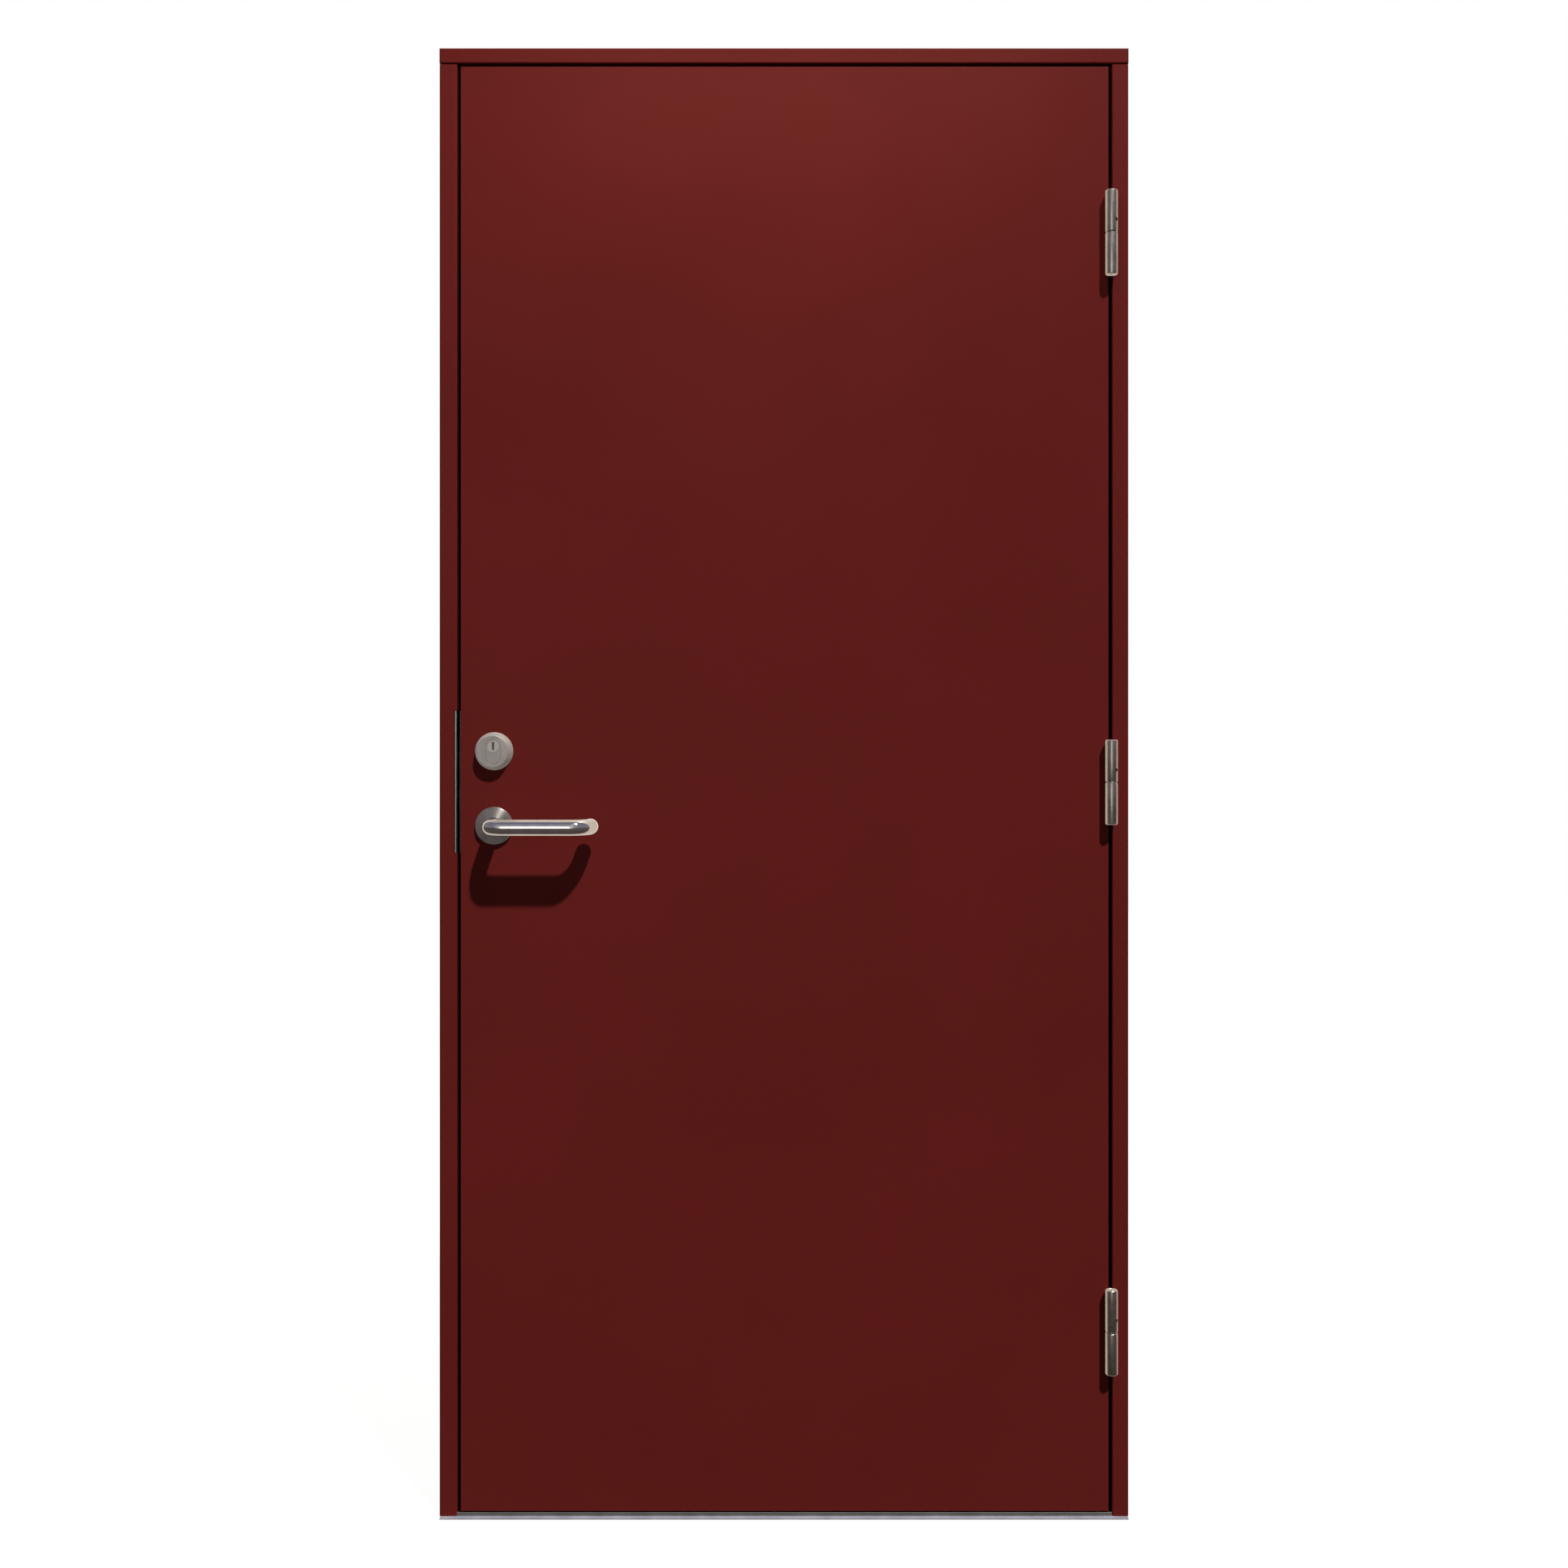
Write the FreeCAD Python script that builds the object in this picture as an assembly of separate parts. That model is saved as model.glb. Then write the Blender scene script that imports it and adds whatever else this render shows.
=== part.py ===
import FreeCAD
import Part

import math
import os

Vector = FreeCAD.Vector

# Flush steel exterior door, opening outwards, hinges on the right seen from outside.
# Millimetres. X runs to the right, Y into the building, Z up.
# The origin is the middle of the threshold's underside, in the frame's outer face.

# Frame
frame_width = 980.0
frame_height = 2090.0
frame_sheet = 1.5
strike_face_width = 25.0
hinge_face_width = 23.4
head_face_height = 21.7
outer_profile_depth = 52.0
thermal_break_depth = 2.0
inner_profile_depth = 38.0
stop_projection = 15.0
profile_corner_radius = 2.0
corner_joint = 1.7
gasket_inset = 3.0
thermal_break_inset = 3.0

# Threshold
threshold_sheet = 2.0
threshold_nose = 7.0
threshold_nose_radius = 0.5
threshold_stop_height = 25.0
threshold_stop_sheet = 2.0
threshold_stop_radius = 3.0

# Leaf
leaf_thickness = 50.0
leaf_skin = 1.2
leaf_gap = 5.0
leaf_bottom_gap = 6.9
leaf_edge_bevel = 2.0
leaf_edge_radius = 0.8

# Seals
seal_width = 9.0
seal_clearance = 0.3
seal_edge_distance = 3.0
seal_corner_radius = 1.0

# Hinges
hinge_names = ("bottom", "middle", "top")
bottom_hinge_height = 267.0
top_hinge_drop = 265.0
hinge_length = 120.0
barrel_radius = 8.5
barrel_face_gap = 1.0
barrel_chamfer = 1.6
knuckle_gap = 1.7
ring_radius = 6.0
ring_play = 0.1
pin_radius = 4.5
pin_running_clearance = 0.05
pin_depth = 42.0
pin_end_play = 2.0
flap_thickness = 2.5
flap_reach = 36.0
flap_end_margin = 4.0
flap_bore_margin = 0.5
set_screw_height = 17.4
set_screw_radius = 2.5
set_screw_clearance = 0.1
set_screw_sink = 0.6
set_screw_angle = -50.0

# Lock
handle_height = 984.0
lock_backset = 48.0
cylinder_spacing = 105.8
lock_case_thickness = 15.0
lock_case_depth = 72.0
lock_case_height = 196.0
lock_case_sheet = 1.5
forend_length = 202.0
forend_rise = 9.5
forend_width = 22.0
forend_thickness = 3.0
forend_cover = 1.0
latch_bolt_height = 30.0
latch_bolt_width = 14.0
latch_bolt_length = 30.0
latch_bolt_drop = 26.0
dead_bolt_height = 34.0
dead_bolt_width = 14.0
dead_bolt_length = 34.0
dead_bolt_rise = 32.0
bolt_clearance = 0.3
bolt_edge_radius = 1.5

# Strike plate on the lock side jamb
strike_thickness = 1.5
strike_sink = 1.0
strike_lip_width = 3.7
strike_wall_width = 44.0
strike_clearance = 0.3
strike_hole_margin = 2.0

# Lock cylinders, outside and inside
cylinder_ring_base_radius = 27.0
cylinder_ring_face_radius = 22.0
cylinder_ring_height = 12.0
cylinder_ring_foot = 1.5
cylinder_width = 21.2
cylinder_length = 35.0
cylinder_groove = 0.35
cylinder_reach = 20.0
cylinder_hole_clearance = 1.0
plug_radius = 8.3
plug_running_clearance = 0.05
plug_length = 28.0
plug_end_play = 0.5
plug_face_radius = 0.4
keyway_width = 2.1
keyway_height = 11.4
keyway_depth = 20.0
thumbturn_stem_radius = 6.0
thumbturn_stem_length = 9.0
thumbturn_width = 32.0
thumbturn_depth = 15.0
thumbturn_thickness = 11.0
thumbturn_edge_radius = 3.0

# Lever handles
rose_radius = 26.5
rose_height = 5.0
rose_bevel = 1.2
rose_neck_clearance = 0.3
lever_radius = 11.0
lever_face_clearance = 0.5
grip_length = 139.0
grip_distance = 52.0
neck_bend_radius = 18.5
end_bend_radius = 25.0
grip_end_distance = 20.0
grip_end_chamfer = 1.2
spindle_side = 8.0
spindle_engagement = 28.0
spindle_hole_clearance = 1.5

# Wall fixings through the jambs
sleeve_count = 4
sleeve_first_height = 130.0
sleeve_last_drop = 160.0
sleeve_outer_radius = 8.0
sleeve_bore_radius = 5.5

# Working values of the model: how far a cut runs past a face, and how near counts as the same place
overcut = 1.0
same_place = 0.01

# Places worked out from the sizes above
left = -frame_width / 2
right = frame_width / 2
strike_edge = left + strike_face_width
hinge_edge = right - hinge_face_width
head_edge = frame_height - head_face_height
inner_profile_front = outer_profile_depth + thermal_break_depth
frame_depth = inner_profile_front + inner_profile_depth
jamb_foot = threshold_sheet
leaf_left = strike_edge + leaf_gap
leaf_right = hinge_edge - leaf_gap
leaf_bottom = threshold_sheet + leaf_bottom_gap
leaf_top = head_edge - leaf_gap
leaf_middle_y = leaf_thickness / 2
lock_x = leaf_left + lock_backset
cylinder_height = handle_height + cylinder_spacing
plug_height = cylinder_height + (cylinder_length - cylinder_width) / 2
lock_middle_height = (handle_height + cylinder_height) / 2 + forend_rise
latch_height = lock_middle_height - latch_bolt_drop
dead_bolt_centre_height = lock_middle_height + dead_bolt_rise
hinge_x = (leaf_right + hinge_edge) / 2
hinge_y = -(barrel_radius + barrel_face_gap)
top_hinge_height = frame_height - top_hinge_drop
middle_hinge_height = (bottom_hinge_height + top_hinge_height) / 2
hinge_heights = (bottom_hinge_height, middle_hinge_height, top_hinge_height)
sleeve_y = inner_profile_front + inner_profile_depth / 2
sleeve_spacing = (frame_height - sleeve_last_drop - sleeve_first_height) / (sleeve_count - 1)
sleeve_heights = [sleeve_first_height + i * sleeve_spacing for i in range(sleeve_count)]


def block(x0, x1, y0, y1, z0, z1):
    return Part.makeBox(x1 - x0, y1 - y0, z1 - z0, Vector(x0, y0, z0))


def rounded(shape, radius, choose):
    """Fillet the edges that choose(edge) picks."""
    edges = [edge for edge in shape.Edges if choose(edge)]
    return shape.makeFillet(radius, edges)


def runs_along(axis):
    """A test for straight edges along one axis, 0 for X, 1 for Y and 2 for Z."""

    def test(edge):
        if not isinstance(edge.Curve, Part.Line):
            return False
        return abs(abs(edge.Curve.Direction[axis]) - 1) < 1e-6

    return test


def circles_at(shape, axis, place):
    """Round edges whose centres lie at one place along X (0), Y (1) or Z (2)."""
    return [edge for edge in shape.Edges
            if isinstance(edge.Curve, Part.Circle)
            and abs(edge.CenterOfMass[axis] - place) < same_place]


def hollow(x0, x1, y0, y1, z0, z1, sheet, along, radius):
    """Sheet profile along X (0), closed all round, or along Z (2), open at its foot."""
    solid = rounded(block(x0, x1, y0, y1, z0, z1), radius, runs_along(along))
    foot = z0 - sheet if along == 2 else z0 + sheet
    core = block(x0 + sheet, x1 - sheet, y0 + sheet, y1 - sheet, foot, z1 - sheet)
    return solid.cut(core)


def polygon_prism(points, z0, z1):
    corners = [Vector(x, y, z0) for x, y in points]
    face = Part.Face(Part.makePolygon(corners + corners[:1]))
    return face.extrude(Vector(0, 0, z1 - z0))


def oval_prism(width, length, x, z, y0, y1):
    """Upright oval with half-round ends, along Y from y0 to y1."""
    radius = width / 2
    half = length / 2 - radius
    depth = Vector(0, y1 - y0, 0)
    lower = Part.makeCylinder(radius, y1 - y0, Vector(x, y0, z - half), depth)
    upper = Part.makeCylinder(radius, y1 - y0, Vector(x, y0, z + half), depth)
    middle = block(x - radius, x + radius, y0, y1, z - half, z + half)
    return lower.fuse(middle).fuse(upper).removeSplitter()


def rod_y(radius, x, z, y0, y1):
    return Part.makeCylinder(radius, y1 - y0, Vector(x, y0, z), Vector(0, 1, 0))


def mirrored_inside(shape):
    """The same piece on the leaf's inner side."""
    return shape.mirror(Vector(0, leaf_middle_y, 0), Vector(0, 1, 0))


# Frame


def flap_box(hinge_height, frame_side):
    """Hinge flap let into the jamb (lower half) or into the leaf's edge (upper half)."""
    flap_start = hinge_y + pin_radius + flap_bore_margin
    end_z = hinge_length / 2 - flap_end_margin / 2
    if frame_side:
        x0, x1 = hinge_edge, hinge_edge + flap_thickness
        z0, z1 = hinge_height - end_z, hinge_height - flap_end_margin
    else:
        x0, x1 = leaf_right - flap_thickness, leaf_right
        z0, z1 = hinge_height + flap_end_margin, hinge_height + end_z
    return block(x0, x1, flap_start, flap_reach, z0, z1)


def strike_section(clearance, inner_x):
    """L-shaped section of the strike plate, out to inner_x in the rebate."""
    z0 = lock_middle_height - forend_length / 2 - clearance
    z1 = lock_middle_height + forend_length / 2 + clearance
    lip_x = strike_edge - strike_lip_width - clearance
    wall_x = strike_edge - strike_sink - strike_thickness - clearance
    lip = block(lip_x, inner_x, 0, strike_thickness + clearance, z0, z1)
    wall = block(wall_x, inner_x, 0, strike_wall_width + clearance, z0, z1)
    return lip.fuse(wall).removeSplitter()


def sleeve(x0, x1, z, radius):
    return Part.makeCylinder(radius, x1 - x0, Vector(x0, sleeve_y, z), Vector(1, 0, 0))


def jamb_outer(x0, x1):
    jamb_top = head_edge - corner_joint
    return hollow(x0, x1, 0, outer_profile_depth, jamb_foot, jamb_top,
                  frame_sheet, 2, profile_corner_radius)


def strike_jamb_outer():
    recess = strike_section(strike_clearance, strike_edge)
    return jamb_outer(left, strike_edge).cut(recess)


def hinge_jamb_outer():
    shape = jamb_outer(hinge_edge, right)
    for z in hinge_heights:
        shape = shape.cut(flap_box(z, True))
    return shape


def jamb_inner(x0, x1):
    jamb_top = head_edge - stop_projection - corner_joint
    shape = hollow(x0, x1, inner_profile_front, frame_depth, jamb_foot, jamb_top,
                   frame_sheet, 2, profile_corner_radius)
    for z in sleeve_heights:
        shape = shape.cut(sleeve(x0, x1, z, sleeve_outer_radius))
    return shape


def head_outer():
    return hollow(left, right, 0, outer_profile_depth, head_edge, frame_height,
                  frame_sheet, 0, profile_corner_radius)


def head_inner():
    return hollow(left, right, inner_profile_front, frame_depth,
                  head_edge - stop_projection, frame_height,
                  frame_sheet, 0, profile_corner_radius)


def thermal_breaks():
    """Plastic strips that join the outer and the inner profiles."""
    y0, y1 = outer_profile_depth, inner_profile_front
    inset = thermal_break_inset
    jamb_top = head_edge - stop_projection - corner_joint
    return Part.makeCompound([
        block(left + inset, strike_edge - inset, y0, y1, jamb_foot, jamb_top),
        block(hinge_edge + inset, right - inset, y0, y1, jamb_foot, jamb_top),
        block(left + inset, right - inset, y0, y1, head_edge + inset, frame_height - inset),
    ])


def corner_gaskets():
    """Packings in the joints between the jambs' tops and the head."""
    inset = gasket_inset
    pieces = []
    for x0, x1 in ((left, strike_edge), (hinge_edge, right)):
        pieces.append(block(x0 + inset, x1 - inset, inset, outer_profile_depth - inset,
                            head_edge - corner_joint, head_edge))
    inner_head = head_edge - stop_projection
    for x0, x1 in ((left, strike_edge + stop_projection),
                   (hinge_edge - stop_projection, right)):
        pieces.append(block(x0 + inset, x1 - inset, inner_profile_front + inset,
                            frame_depth - inset, inner_head - corner_joint, inner_head))
    return Part.makeCompound(pieces)


def threshold_plate():
    plate = block(left, right, -threshold_nose, frame_depth, 0, threshold_sheet)

    def front_top(edge):
        centre = edge.CenterOfMass
        in_front = centre.y < same_place - threshold_nose
        return in_front and centre.z > threshold_sheet - same_place

    return rounded(plate, threshold_nose_radius, front_top)


def threshold_stop():
    x0 = strike_edge + stop_projection
    x1 = hinge_edge - stop_projection
    z0, z1 = jamb_foot, jamb_foot + threshold_stop_height
    body = block(x0, x1, inner_profile_front, frame_depth, z0, z1)

    def long_top(edge):
        return runs_along(0)(edge) and edge.CenterOfMass.z > z1 - same_place

    body = rounded(body, threshold_stop_radius, long_top)
    sheet = threshold_stop_sheet
    core = block(x0 + sheet, x1 - sheet, inner_profile_front + sheet,
                 frame_depth - sheet, z0 - overcut, z1 - sheet)
    return body.cut(core)


def strike_hole(height, bolt_height, bolt_width):
    """Opening for a bolt through the strike plate's wall side."""
    half_z = bolt_height / 2 + strike_hole_margin
    half_y = bolt_width / 2 + strike_hole_margin
    x0 = strike_edge - strike_sink - strike_thickness - overcut
    hole = block(x0, strike_edge + overcut,
                 leaf_middle_y - half_y, leaf_middle_y + half_y,
                 height - half_z, height + half_z)
    return rounded(hole, strike_hole_margin, runs_along(0))


def strike_plate():
    plate = strike_section(0, strike_edge - strike_sink)
    for height, bolt_height, bolt_width in (
            (latch_height, latch_bolt_height, latch_bolt_width),
            (dead_bolt_centre_height, dead_bolt_height, dead_bolt_width)):
        plate = plate.cut(strike_hole(height, bolt_height, bolt_width))
    return plate


def jamb_sleeves():
    """Steel sleeves for the wall screws, through both inner jamb profiles."""
    pieces = []
    for x0, x1 in ((left, strike_edge + stop_projection), (hinge_edge - stop_projection, right)):
        for z in sleeve_heights:
            tube = sleeve(x0, x1, z, sleeve_outer_radius)
            pieces.append(tube.cut(sleeve(x0, x1, z, sleeve_bore_radius)))
    return Part.makeCompound(pieces)


# Seals between the stop and the closed leaf

seal_y0 = leaf_thickness + seal_clearance
seal_y1 = inner_profile_front
strike_seal_x = strike_edge + stop_projection - seal_edge_distance - seal_width
hinge_seal_x = hinge_edge - stop_projection + seal_edge_distance
head_seal_z = head_edge - stop_projection + seal_edge_distance
threshold_seal_z = jamb_foot + threshold_stop_height - seal_edge_distance - seal_width


def seal_strip(x0, x1, z0, z1, along):
    strip = block(x0, x1, seal_y0, seal_y1, z0, z1)
    return rounded(strip, seal_corner_radius, runs_along(along))


def upright_seal(x0):
    return seal_strip(x0, x0 + seal_width, threshold_seal_z, head_seal_z, 2)


def head_seal():
    return seal_strip(strike_seal_x, hinge_seal_x + seal_width,
                      head_seal_z, head_seal_z + seal_width, 0)


def threshold_seal():
    return seal_strip(strike_seal_x + seal_width, hinge_seal_x,
                      threshold_seal_z, threshold_seal_z + seal_width, 0)


# Hinges


def rod_z(radius, z0, z1):
    """Upright cylinder on the hinges' common axis."""
    return Part.makeCylinder(radius, z1 - z0, Vector(hinge_x, hinge_y, z0))


def barrel(z0, z1, outer_end):
    shape = rod_z(barrel_radius, z0, z1)
    return shape.makeChamfer(barrel_chamfer, circles_at(shape, 2, outer_end))


def hinge_frame_half(height):
    foot = height - hinge_length / 2
    shape = barrel(foot, height - knuckle_gap / 2, foot)
    shape = shape.fuse(flap_box(height, True)).removeSplitter()
    return shape.cut(rod_z(pin_radius, height - pin_depth, height))


def set_screw_axis():
    angle = math.radians(set_screw_angle)
    return Vector(math.cos(angle), math.sin(angle), 0)


def set_screw_rod(height, radius, start, end):
    axis = set_screw_axis()
    base = Vector(hinge_x, hinge_y, height + set_screw_height) + axis * start
    return Part.makeCylinder(radius, end - start, base, axis)


def hinge_door_half(height):
    top = height + hinge_length / 2
    shape = barrel(height + knuckle_gap / 2, top, top)
    shape = shape.fuse(flap_box(height, False)).removeSplitter()
    bore_radius = pin_radius + pin_running_clearance
    shape = shape.cut(rod_z(bore_radius, height, height + pin_depth + pin_end_play))
    return shape.cut(set_screw_rod(height, set_screw_radius + set_screw_clearance,
                                   pin_radius, barrel_radius + overcut))


def hinge_pin(height):
    return rod_z(pin_radius, height - pin_depth, height + pin_depth)


def hinge_rings():
    """Bearing rings between the two halves of each hinge."""
    pieces = []
    for height in hinge_heights:
        z0 = height - knuckle_gap / 2
        z1 = height + knuckle_gap / 2 - ring_play
        pieces.append(rod_z(ring_radius, z0, z1).cut(rod_z(pin_radius, z0, z1)))
    return Part.makeCompound(pieces)


def hinge_set_screws():
    start = pin_radius + pin_running_clearance + set_screw_clearance
    end = barrel_radius - set_screw_sink
    return Part.makeCompound(
        [set_screw_rod(height, set_screw_radius, start, end) for height in hinge_heights])


# Leaf


def leaf_prism(inset, y0, y1):
    """The leaf's outline, drawn in by inset all round, between two depths."""
    def lock_edge(y):
        return leaf_left + inset + leaf_edge_bevel * y / leaf_thickness

    x1 = leaf_right - inset
    points = [(lock_edge(y0), y0), (x1, y0), (x1, y1), (lock_edge(y1), y1)]
    return polygon_prism(points, leaf_bottom + inset, leaf_top - inset)


def spindle_hole(y0, y1):
    radius = spindle_side / 2 * math.sqrt(2) + spindle_hole_clearance
    return rod_y(radius, lock_x, handle_height, y0, y1)


def cylinder_hole(y0, y1):
    width = cylinder_width + 2 * cylinder_hole_clearance
    length = cylinder_length + 2 * cylinder_hole_clearance
    return oval_prism(width, length, lock_x, cylinder_height, y0, y1)


def through_holes(shape):
    y0, y1 = -overcut, leaf_thickness + overcut
    return shape.cut(spindle_hole(y0, y1)).cut(cylinder_hole(y0, y1))


def lock_edge_strip(y0, y1, outward, inward):
    """Strip as long as the forend along the lock edge, following its bevel."""
    def edge_x(y):
        return leaf_left + leaf_edge_bevel * y / leaf_thickness

    points = [(edge_x(y0) - outward, y0), (edge_x(y0) + inward, y0),
              (edge_x(y1) + inward, y1), (edge_x(y1) - outward, y1)]
    return polygon_prism(points, lock_middle_height - forend_length / 2,
                         lock_middle_height + forend_length / 2)


forend_front = leaf_middle_y - forend_width / 2
forend_back = leaf_middle_y + forend_width / 2


def forend_seat():
    """Room of the forend's thick part in the leaf's lock edge."""
    return lock_edge_strip(forend_front, forend_back, 0, forend_thickness)


def lock_case_box(inset):
    half_y = lock_case_thickness / 2 - inset
    half_z = lock_case_height / 2 - inset
    x0 = leaf_left + leaf_edge_bevel + forend_thickness
    return block(x0 + inset, x0 + lock_case_depth - inset,
                 leaf_middle_y - half_y, leaf_middle_y + half_y,
                 lock_middle_height - half_z, lock_middle_height + half_z)


def leaf_outer_skin():
    back = leaf_thickness - leaf_skin
    shape = leaf_prism(0, 0, back)

    def front_edge(edge):
        return edge.BoundBox.YMax < same_place

    shape = rounded(shape, leaf_edge_radius, front_edge)
    shape = shape.cut(leaf_prism(leaf_skin, leaf_skin, back + overcut))
    for height in hinge_heights:
        shape = shape.cut(flap_box(height, False))
    return through_holes(shape.cut(forend_seat()))


def leaf_inner_skin():
    shape = leaf_prism(0, leaf_thickness - leaf_skin, leaf_thickness)

    def back_edge(edge):
        return edge.BoundBox.YMin > leaf_thickness - same_place

    return through_holes(rounded(shape, leaf_edge_radius, back_edge))


def leaf_core():
    shape = leaf_prism(leaf_skin, leaf_skin, leaf_thickness - leaf_skin)
    for height in hinge_heights:
        shape = shape.cut(flap_box(height, False))
    shape = shape.cut(forend_seat()).cut(lock_case_box(0))
    return through_holes(bolt_holes(shape))


# Lock


def bolt_box(height, bolt_height, bolt_width, bolt_length, clearance):
    """A bolt drawn back flush with the forend."""
    half_z = bolt_height / 2 + clearance
    half_y = bolt_width / 2 + clearance
    x0 = leaf_left + leaf_edge_bevel * (leaf_middle_y + half_y) / leaf_thickness
    return block(x0, x0 + bolt_length + clearance, leaf_middle_y - half_y,
                 leaf_middle_y + half_y, height - half_z, height + half_z)


def latch_box(clearance):
    return bolt_box(latch_height, latch_bolt_height, latch_bolt_width,
                    latch_bolt_length, clearance)


def dead_bolt_box(clearance):
    return bolt_box(dead_bolt_centre_height, dead_bolt_height, dead_bolt_width,
                    dead_bolt_length, clearance)


def bolt_holes(shape):
    """Ways for both bolts, out through the forend and its cover."""
    reach = Vector(-forend_thickness - forend_cover, 0, 0)
    for box in (latch_box(bolt_clearance), dead_bolt_box(bolt_clearance)):
        shape = shape.cut(box).cut(box.translated(reach))
    return shape


def lock_case():
    shape = lock_case_box(0).cut(lock_case_box(lock_case_sheet))
    return through_holes(bolt_holes(shape))


def lock_forend():
    """Forend in the lock edge, with a thin cover that reaches the leaf's outer face."""
    cover = lock_edge_strip(leaf_edge_radius, forend_back, forend_cover, 0)
    return bolt_holes(forend_seat().fuse(cover).removeSplitter())


def latch_bolt():
    return rounded(latch_box(0), bolt_edge_radius, runs_along(0))


def dead_bolt():
    return rounded(dead_bolt_box(0), bolt_edge_radius, runs_along(0))


def cylinder_ring():
    """Conical security ring round the cylinder, on the outer face."""
    foot = Part.makeCylinder(cylinder_ring_base_radius, cylinder_ring_foot,
                             Vector(lock_x, 0, cylinder_height), Vector(0, -1, 0))
    cone = Part.makeCone(cylinder_ring_base_radius, cylinder_ring_face_radius,
                         cylinder_ring_height - cylinder_ring_foot,
                         Vector(lock_x, -cylinder_ring_foot, cylinder_height),
                         Vector(0, -1, 0))
    ring = foot.fuse(cone).removeSplitter()
    hole = oval_prism(cylinder_width + 2 * cylinder_groove,
                      cylinder_length + 2 * cylinder_groove,
                      lock_x, cylinder_height, -cylinder_ring_height - overcut, overcut)
    return ring.cut(hole)


def cylinder_body():
    shape = oval_prism(cylinder_width, cylinder_length, lock_x, cylinder_height,
                       -cylinder_ring_height, cylinder_reach)
    bore = rod_y(plug_radius + plug_running_clearance, lock_x, plug_height,
                 -cylinder_ring_height, plug_length - cylinder_ring_height + plug_end_play)
    return shape.cut(bore)


def key_plug():
    y0 = -cylinder_ring_height
    shape = rod_y(plug_radius, lock_x, plug_height, y0, y0 + plug_length)
    shape = shape.makeFillet(plug_face_radius, circles_at(shape, 1, y0))
    keyway = block(lock_x - keyway_width / 2, lock_x + keyway_width / 2,
                   y0 - overcut, y0 + keyway_depth,
                   plug_height - keyway_height / 2, plug_height + keyway_height / 2)
    return shape.cut(keyway)


def inside_thumbturn():
    """Plain thumbturn on an oval body, on the inner side."""
    face_y = leaf_thickness + cylinder_ring_height
    body = oval_prism(cylinder_width, cylinder_length, lock_x, cylinder_height,
                      leaf_thickness - cylinder_reach, face_y)
    stem = rod_y(thumbturn_stem_radius, lock_x, plug_height,
                 face_y, face_y + thumbturn_stem_length)
    y0 = face_y + thumbturn_stem_length - thumbturn_edge_radius
    wing = block(lock_x - thumbturn_thickness / 2, lock_x + thumbturn_thickness / 2,
                 y0, y0 + thumbturn_depth,
                 plug_height - thumbturn_width / 2, plug_height + thumbturn_width / 2)
    wing = wing.makeFillet(thumbturn_edge_radius, wing.Edges)
    return body.fuse(stem).fuse(wing).removeSplitter()


# Lever handles


def lever_rose():
    shape = Part.makeCylinder(rose_radius, rose_height,
                              Vector(lock_x, 0, handle_height), Vector(0, -1, 0))
    shape = shape.makeChamfer(rose_bevel, circles_at(shape, 1, -rose_height))
    hole_radius = lever_radius + rose_neck_clearance
    return shape.cut(rod_y(hole_radius, lock_x, handle_height,
                           -rose_height - overcut, overcut))


def spindle_block():
    half = spindle_side / 2
    return block(lock_x - half, lock_x + half,
                 -spindle_engagement, leaf_thickness + spindle_engagement,
                 handle_height - half, handle_height + half)


def lever_path():
    """Middle line of the handle: neck, bend, grip, wider bend and return to the door."""
    neck_x = lock_x
    end_x = lock_x + grip_length
    y_grip = -grip_distance
    z = handle_height

    def point(x, y):
        return Vector(x, y, z)

    def bend_middle(centre_x, radius, side):
        half_way = radius / math.sqrt(2)
        return point(centre_x + side * half_way, y_grip + radius - half_way)

    neck_start = point(neck_x, -lever_face_clearance)
    neck_end = point(neck_x, y_grip + neck_bend_radius)
    grip_start = point(neck_x + neck_bend_radius, y_grip)
    grip_end = point(end_x - end_bend_radius, y_grip)
    return_start = point(end_x, y_grip + end_bend_radius)
    return_end = point(end_x, -grip_end_distance)
    neck_middle = bend_middle(neck_x + neck_bend_radius, neck_bend_radius, -1)
    end_middle = bend_middle(end_x - end_bend_radius, end_bend_radius, 1)
    edges = [
        Part.LineSegment(neck_start, neck_end).toShape(),
        Part.Arc(neck_end, neck_middle, grip_start).toShape(),
        Part.LineSegment(grip_start, grip_end).toShape(),
        Part.Arc(grip_end, end_middle, return_start).toShape(),
        Part.LineSegment(return_start, return_end).toShape(),
    ]
    return Part.Wire(edges)


def lever_handle():
    start = Vector(lock_x, -lever_face_clearance, handle_height)
    section = Part.Wire([Part.Circle(start, Vector(0, 1, 0), lever_radius).toShape()])
    bar = lever_path().makePipeShell([section], True, True)
    end_rim = circles_at(bar, 1, -grip_end_distance)
    bar = bar.makeChamfer(grip_end_chamfer, end_rim)
    return bar.cut(spindle_block())


# All pieces, by node name


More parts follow.
